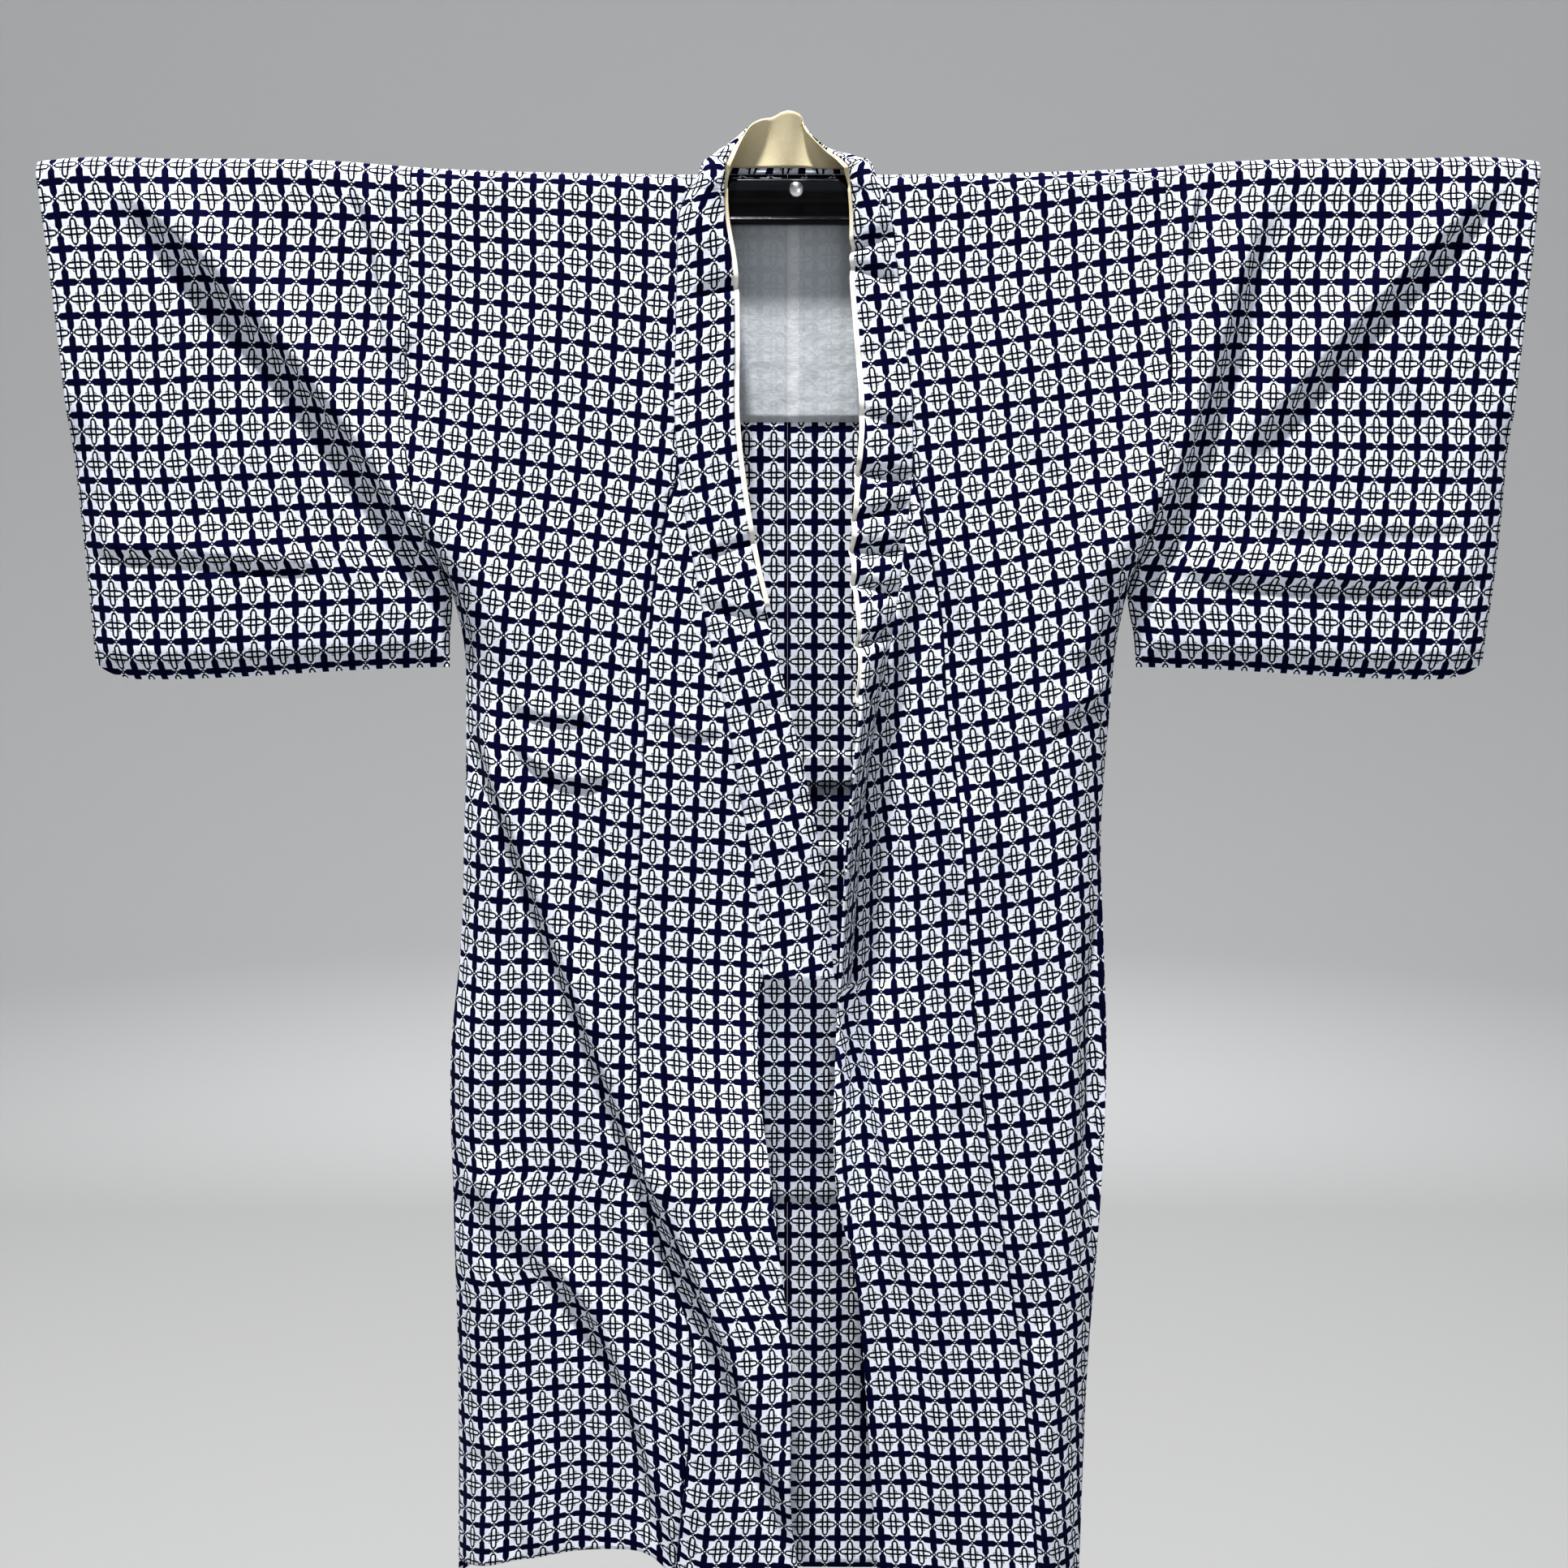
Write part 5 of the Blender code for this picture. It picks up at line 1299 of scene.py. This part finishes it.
def inside_back(name, keep_rows, wall, finish):
    """Cloth that lies on the inside of the back, across both lengths."""
    sides = {}
    for side, (outer, inward, grain) in halves.items():
        keep = np.abs(outer[len(back_rows) // 2, :, 0]) < LINING_HALF
        inside = outer + inward * (WALL + LINING_GAP)
        sides[side] = [array[keep_rows][:, keep] for array in (inside, grain)]
    (left, left_grain), (right, right_grain) = sides[-1], sides[1]
    centre = 0.5 * (left[:, :1] + right[:, :1])
    outer = np.concatenate([left[:, :0:-1], centre, right[:, 1:]], axis=1)
    left_grain = left_grain * np.array([-1.0, 1.0])
    grain = np.concatenate([left_grain[:, :0:-1], right_grain[:, :1], right_grain[:, 1:]], axis=1)
    inward = np.broadcast_to((0.0, -1.0, 0.0), outer.shape)
    return cloth_wall(name, outer, inward, wall, 1, grain, finish)


levels = back_rows[::-1]
place = np.arange(len(levels))
lining_rows = place[(levels >= 0) & (levels <= SHOULDER_LINING_SHARE + 0.004)]
tuck_rows = place[(levels < 0) & (levels <= TUCK_TOP) & (levels >= TUCK_EDGE)]
seat_rows = place[(levels < 0) & (levels <= SEAT_LINING_TOP) & (levels >= SEAT_LINING_END)]

white_lining = printed_cotton("white_lining", faint=0.93)
piece = inside_back("shoulder_lining_cotton", lining_rows, LINING_WALL, white_lining)
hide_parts("shoulder_lining")
piece = inside_back("waist_tuck_cotton", tuck_rows, TUCK_WALL, cotton)
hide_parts("waist_tuck")
piece = inside_back("seat_lining_cotton", seat_rows, LINING_WALL, cotton)
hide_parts("seat_lining")


# ---------------------------------------------------------------- the setting
# A pale studio floor that sweeps up into a pale wall all round, a high key
# light with softer panels, a small lamp for the gap between the fronts, and
# the camera straight in front, looking a little down.

FLOOR_LEVEL = -1.720
STAGE_RADIUS = 7.0
STAGE_COVE = 2.5
STAGE_HEIGHT = 9.0

studio = Finish("studio_paper", roughness=0.95, base_color=(0.38, 0.384, 0.392, 1.0))
flat = STAGE_RADIUS - STAGE_COVE
bend = np.linspace(0.0, math.pi / 2, 24)
radius = np.concatenate([np.linspace(0.0, flat, 12)[:-1], flat + STAGE_COVE * np.sin(bend),
                         [STAGE_RADIUS]])
height = np.concatenate([np.zeros(11), STAGE_COVE * (1 - np.cos(bend)), [STAGE_HEIGHT]])
around = np.linspace(0.0, 2 * math.pi, 96, endpoint=False)
bowl = np.stack([
    radius[:, None] * np.cos(around), radius[:, None] * np.sin(around),
    FLOOR_LEVEL + height[:, None] + 0 * around], -1)
floor = grid_mesh("studio_bowl", bowl.reshape(-1, 3), rings_closed(bowl), studio)

world = bpy.data.worlds.new("studio")
bpy.context.scene.world = world
world.use_nodes = True
world.node_tree.nodes["Background"].inputs["Color"].default_value = (0.93, 0.96, 1.0, 1.0)
world.node_tree.nodes["Background"].inputs["Strength"].default_value = 0.06


def area_light(name, place, aim, size, power, colour, spread=math.pi):
    """Square light at a place, turned towards a point, its beam as wide as the spread."""
    light = bpy.data.lights.new(name, "AREA")
    light.shape = "SQUARE"
    light.size = size
    light.energy = power
    light.color = colour
    light.spread = spread
    lamp = bpy.data.objects.new(name, light)
    lamp.location = place
    lamp.rotation_euler = (Vector(aim) - Vector(place)).to_track_quat("-Z", "Y").to_euler()
    bpy.context.scene.collection.objects.link(lamp)


area_light("key", (-0.50, -1.65, 5.30), (0.0, 0.0, -0.45), 0.50, 465.0, (1.0, 0.985, 0.96))
area_light("fill", (1.6, -4.6, -0.4), (0.0, 0.0, -0.8), 2.2, 10.0, (0.96, 0.98, 1.0))
area_light("sky", (0.0, -3.3, 2.7), (0.0, 0.0, -0.2), 2.0, 8.0, (0.72, 0.84, 1.0))
area_light("card", (0.05, -1.30, -1.25), (0.010, 0.03, -0.815), 0.10, 0.034, (1.0, 1.0, 1.0),
           spread=math.radians(13.0))
area_light("behind", (0.6, 3.6, 2.4), (0.0, 0.0, -0.5), 2.4, 40.0, (1.0, 1.0, 1.0))
area_light("backdrop", (0.0, 1.8, 0.8), (0.0, 7.0, 1.4), 3.0, 60.0, (1.0, 1.0, 1.0))

camera = bpy.data.cameras.new("camera")
camera.lens = 49.88
camera.sensor_width = 36.0
eye = bpy.data.objects.new("camera", camera)
eye.location = (-0.0033, -2.05, -0.2268)
eye.rotation_euler = (math.radians(81.3), 0.0, 0.0)
bpy.context.scene.collection.objects.link(eye)
bpy.context.scene.camera = eye
bpy.context.scene.view_settings.view_transform = "Standard"
bpy.context.scene.view_settings.look = "High Contrast"
bpy.context.scene.view_settings.exposure = 0.25
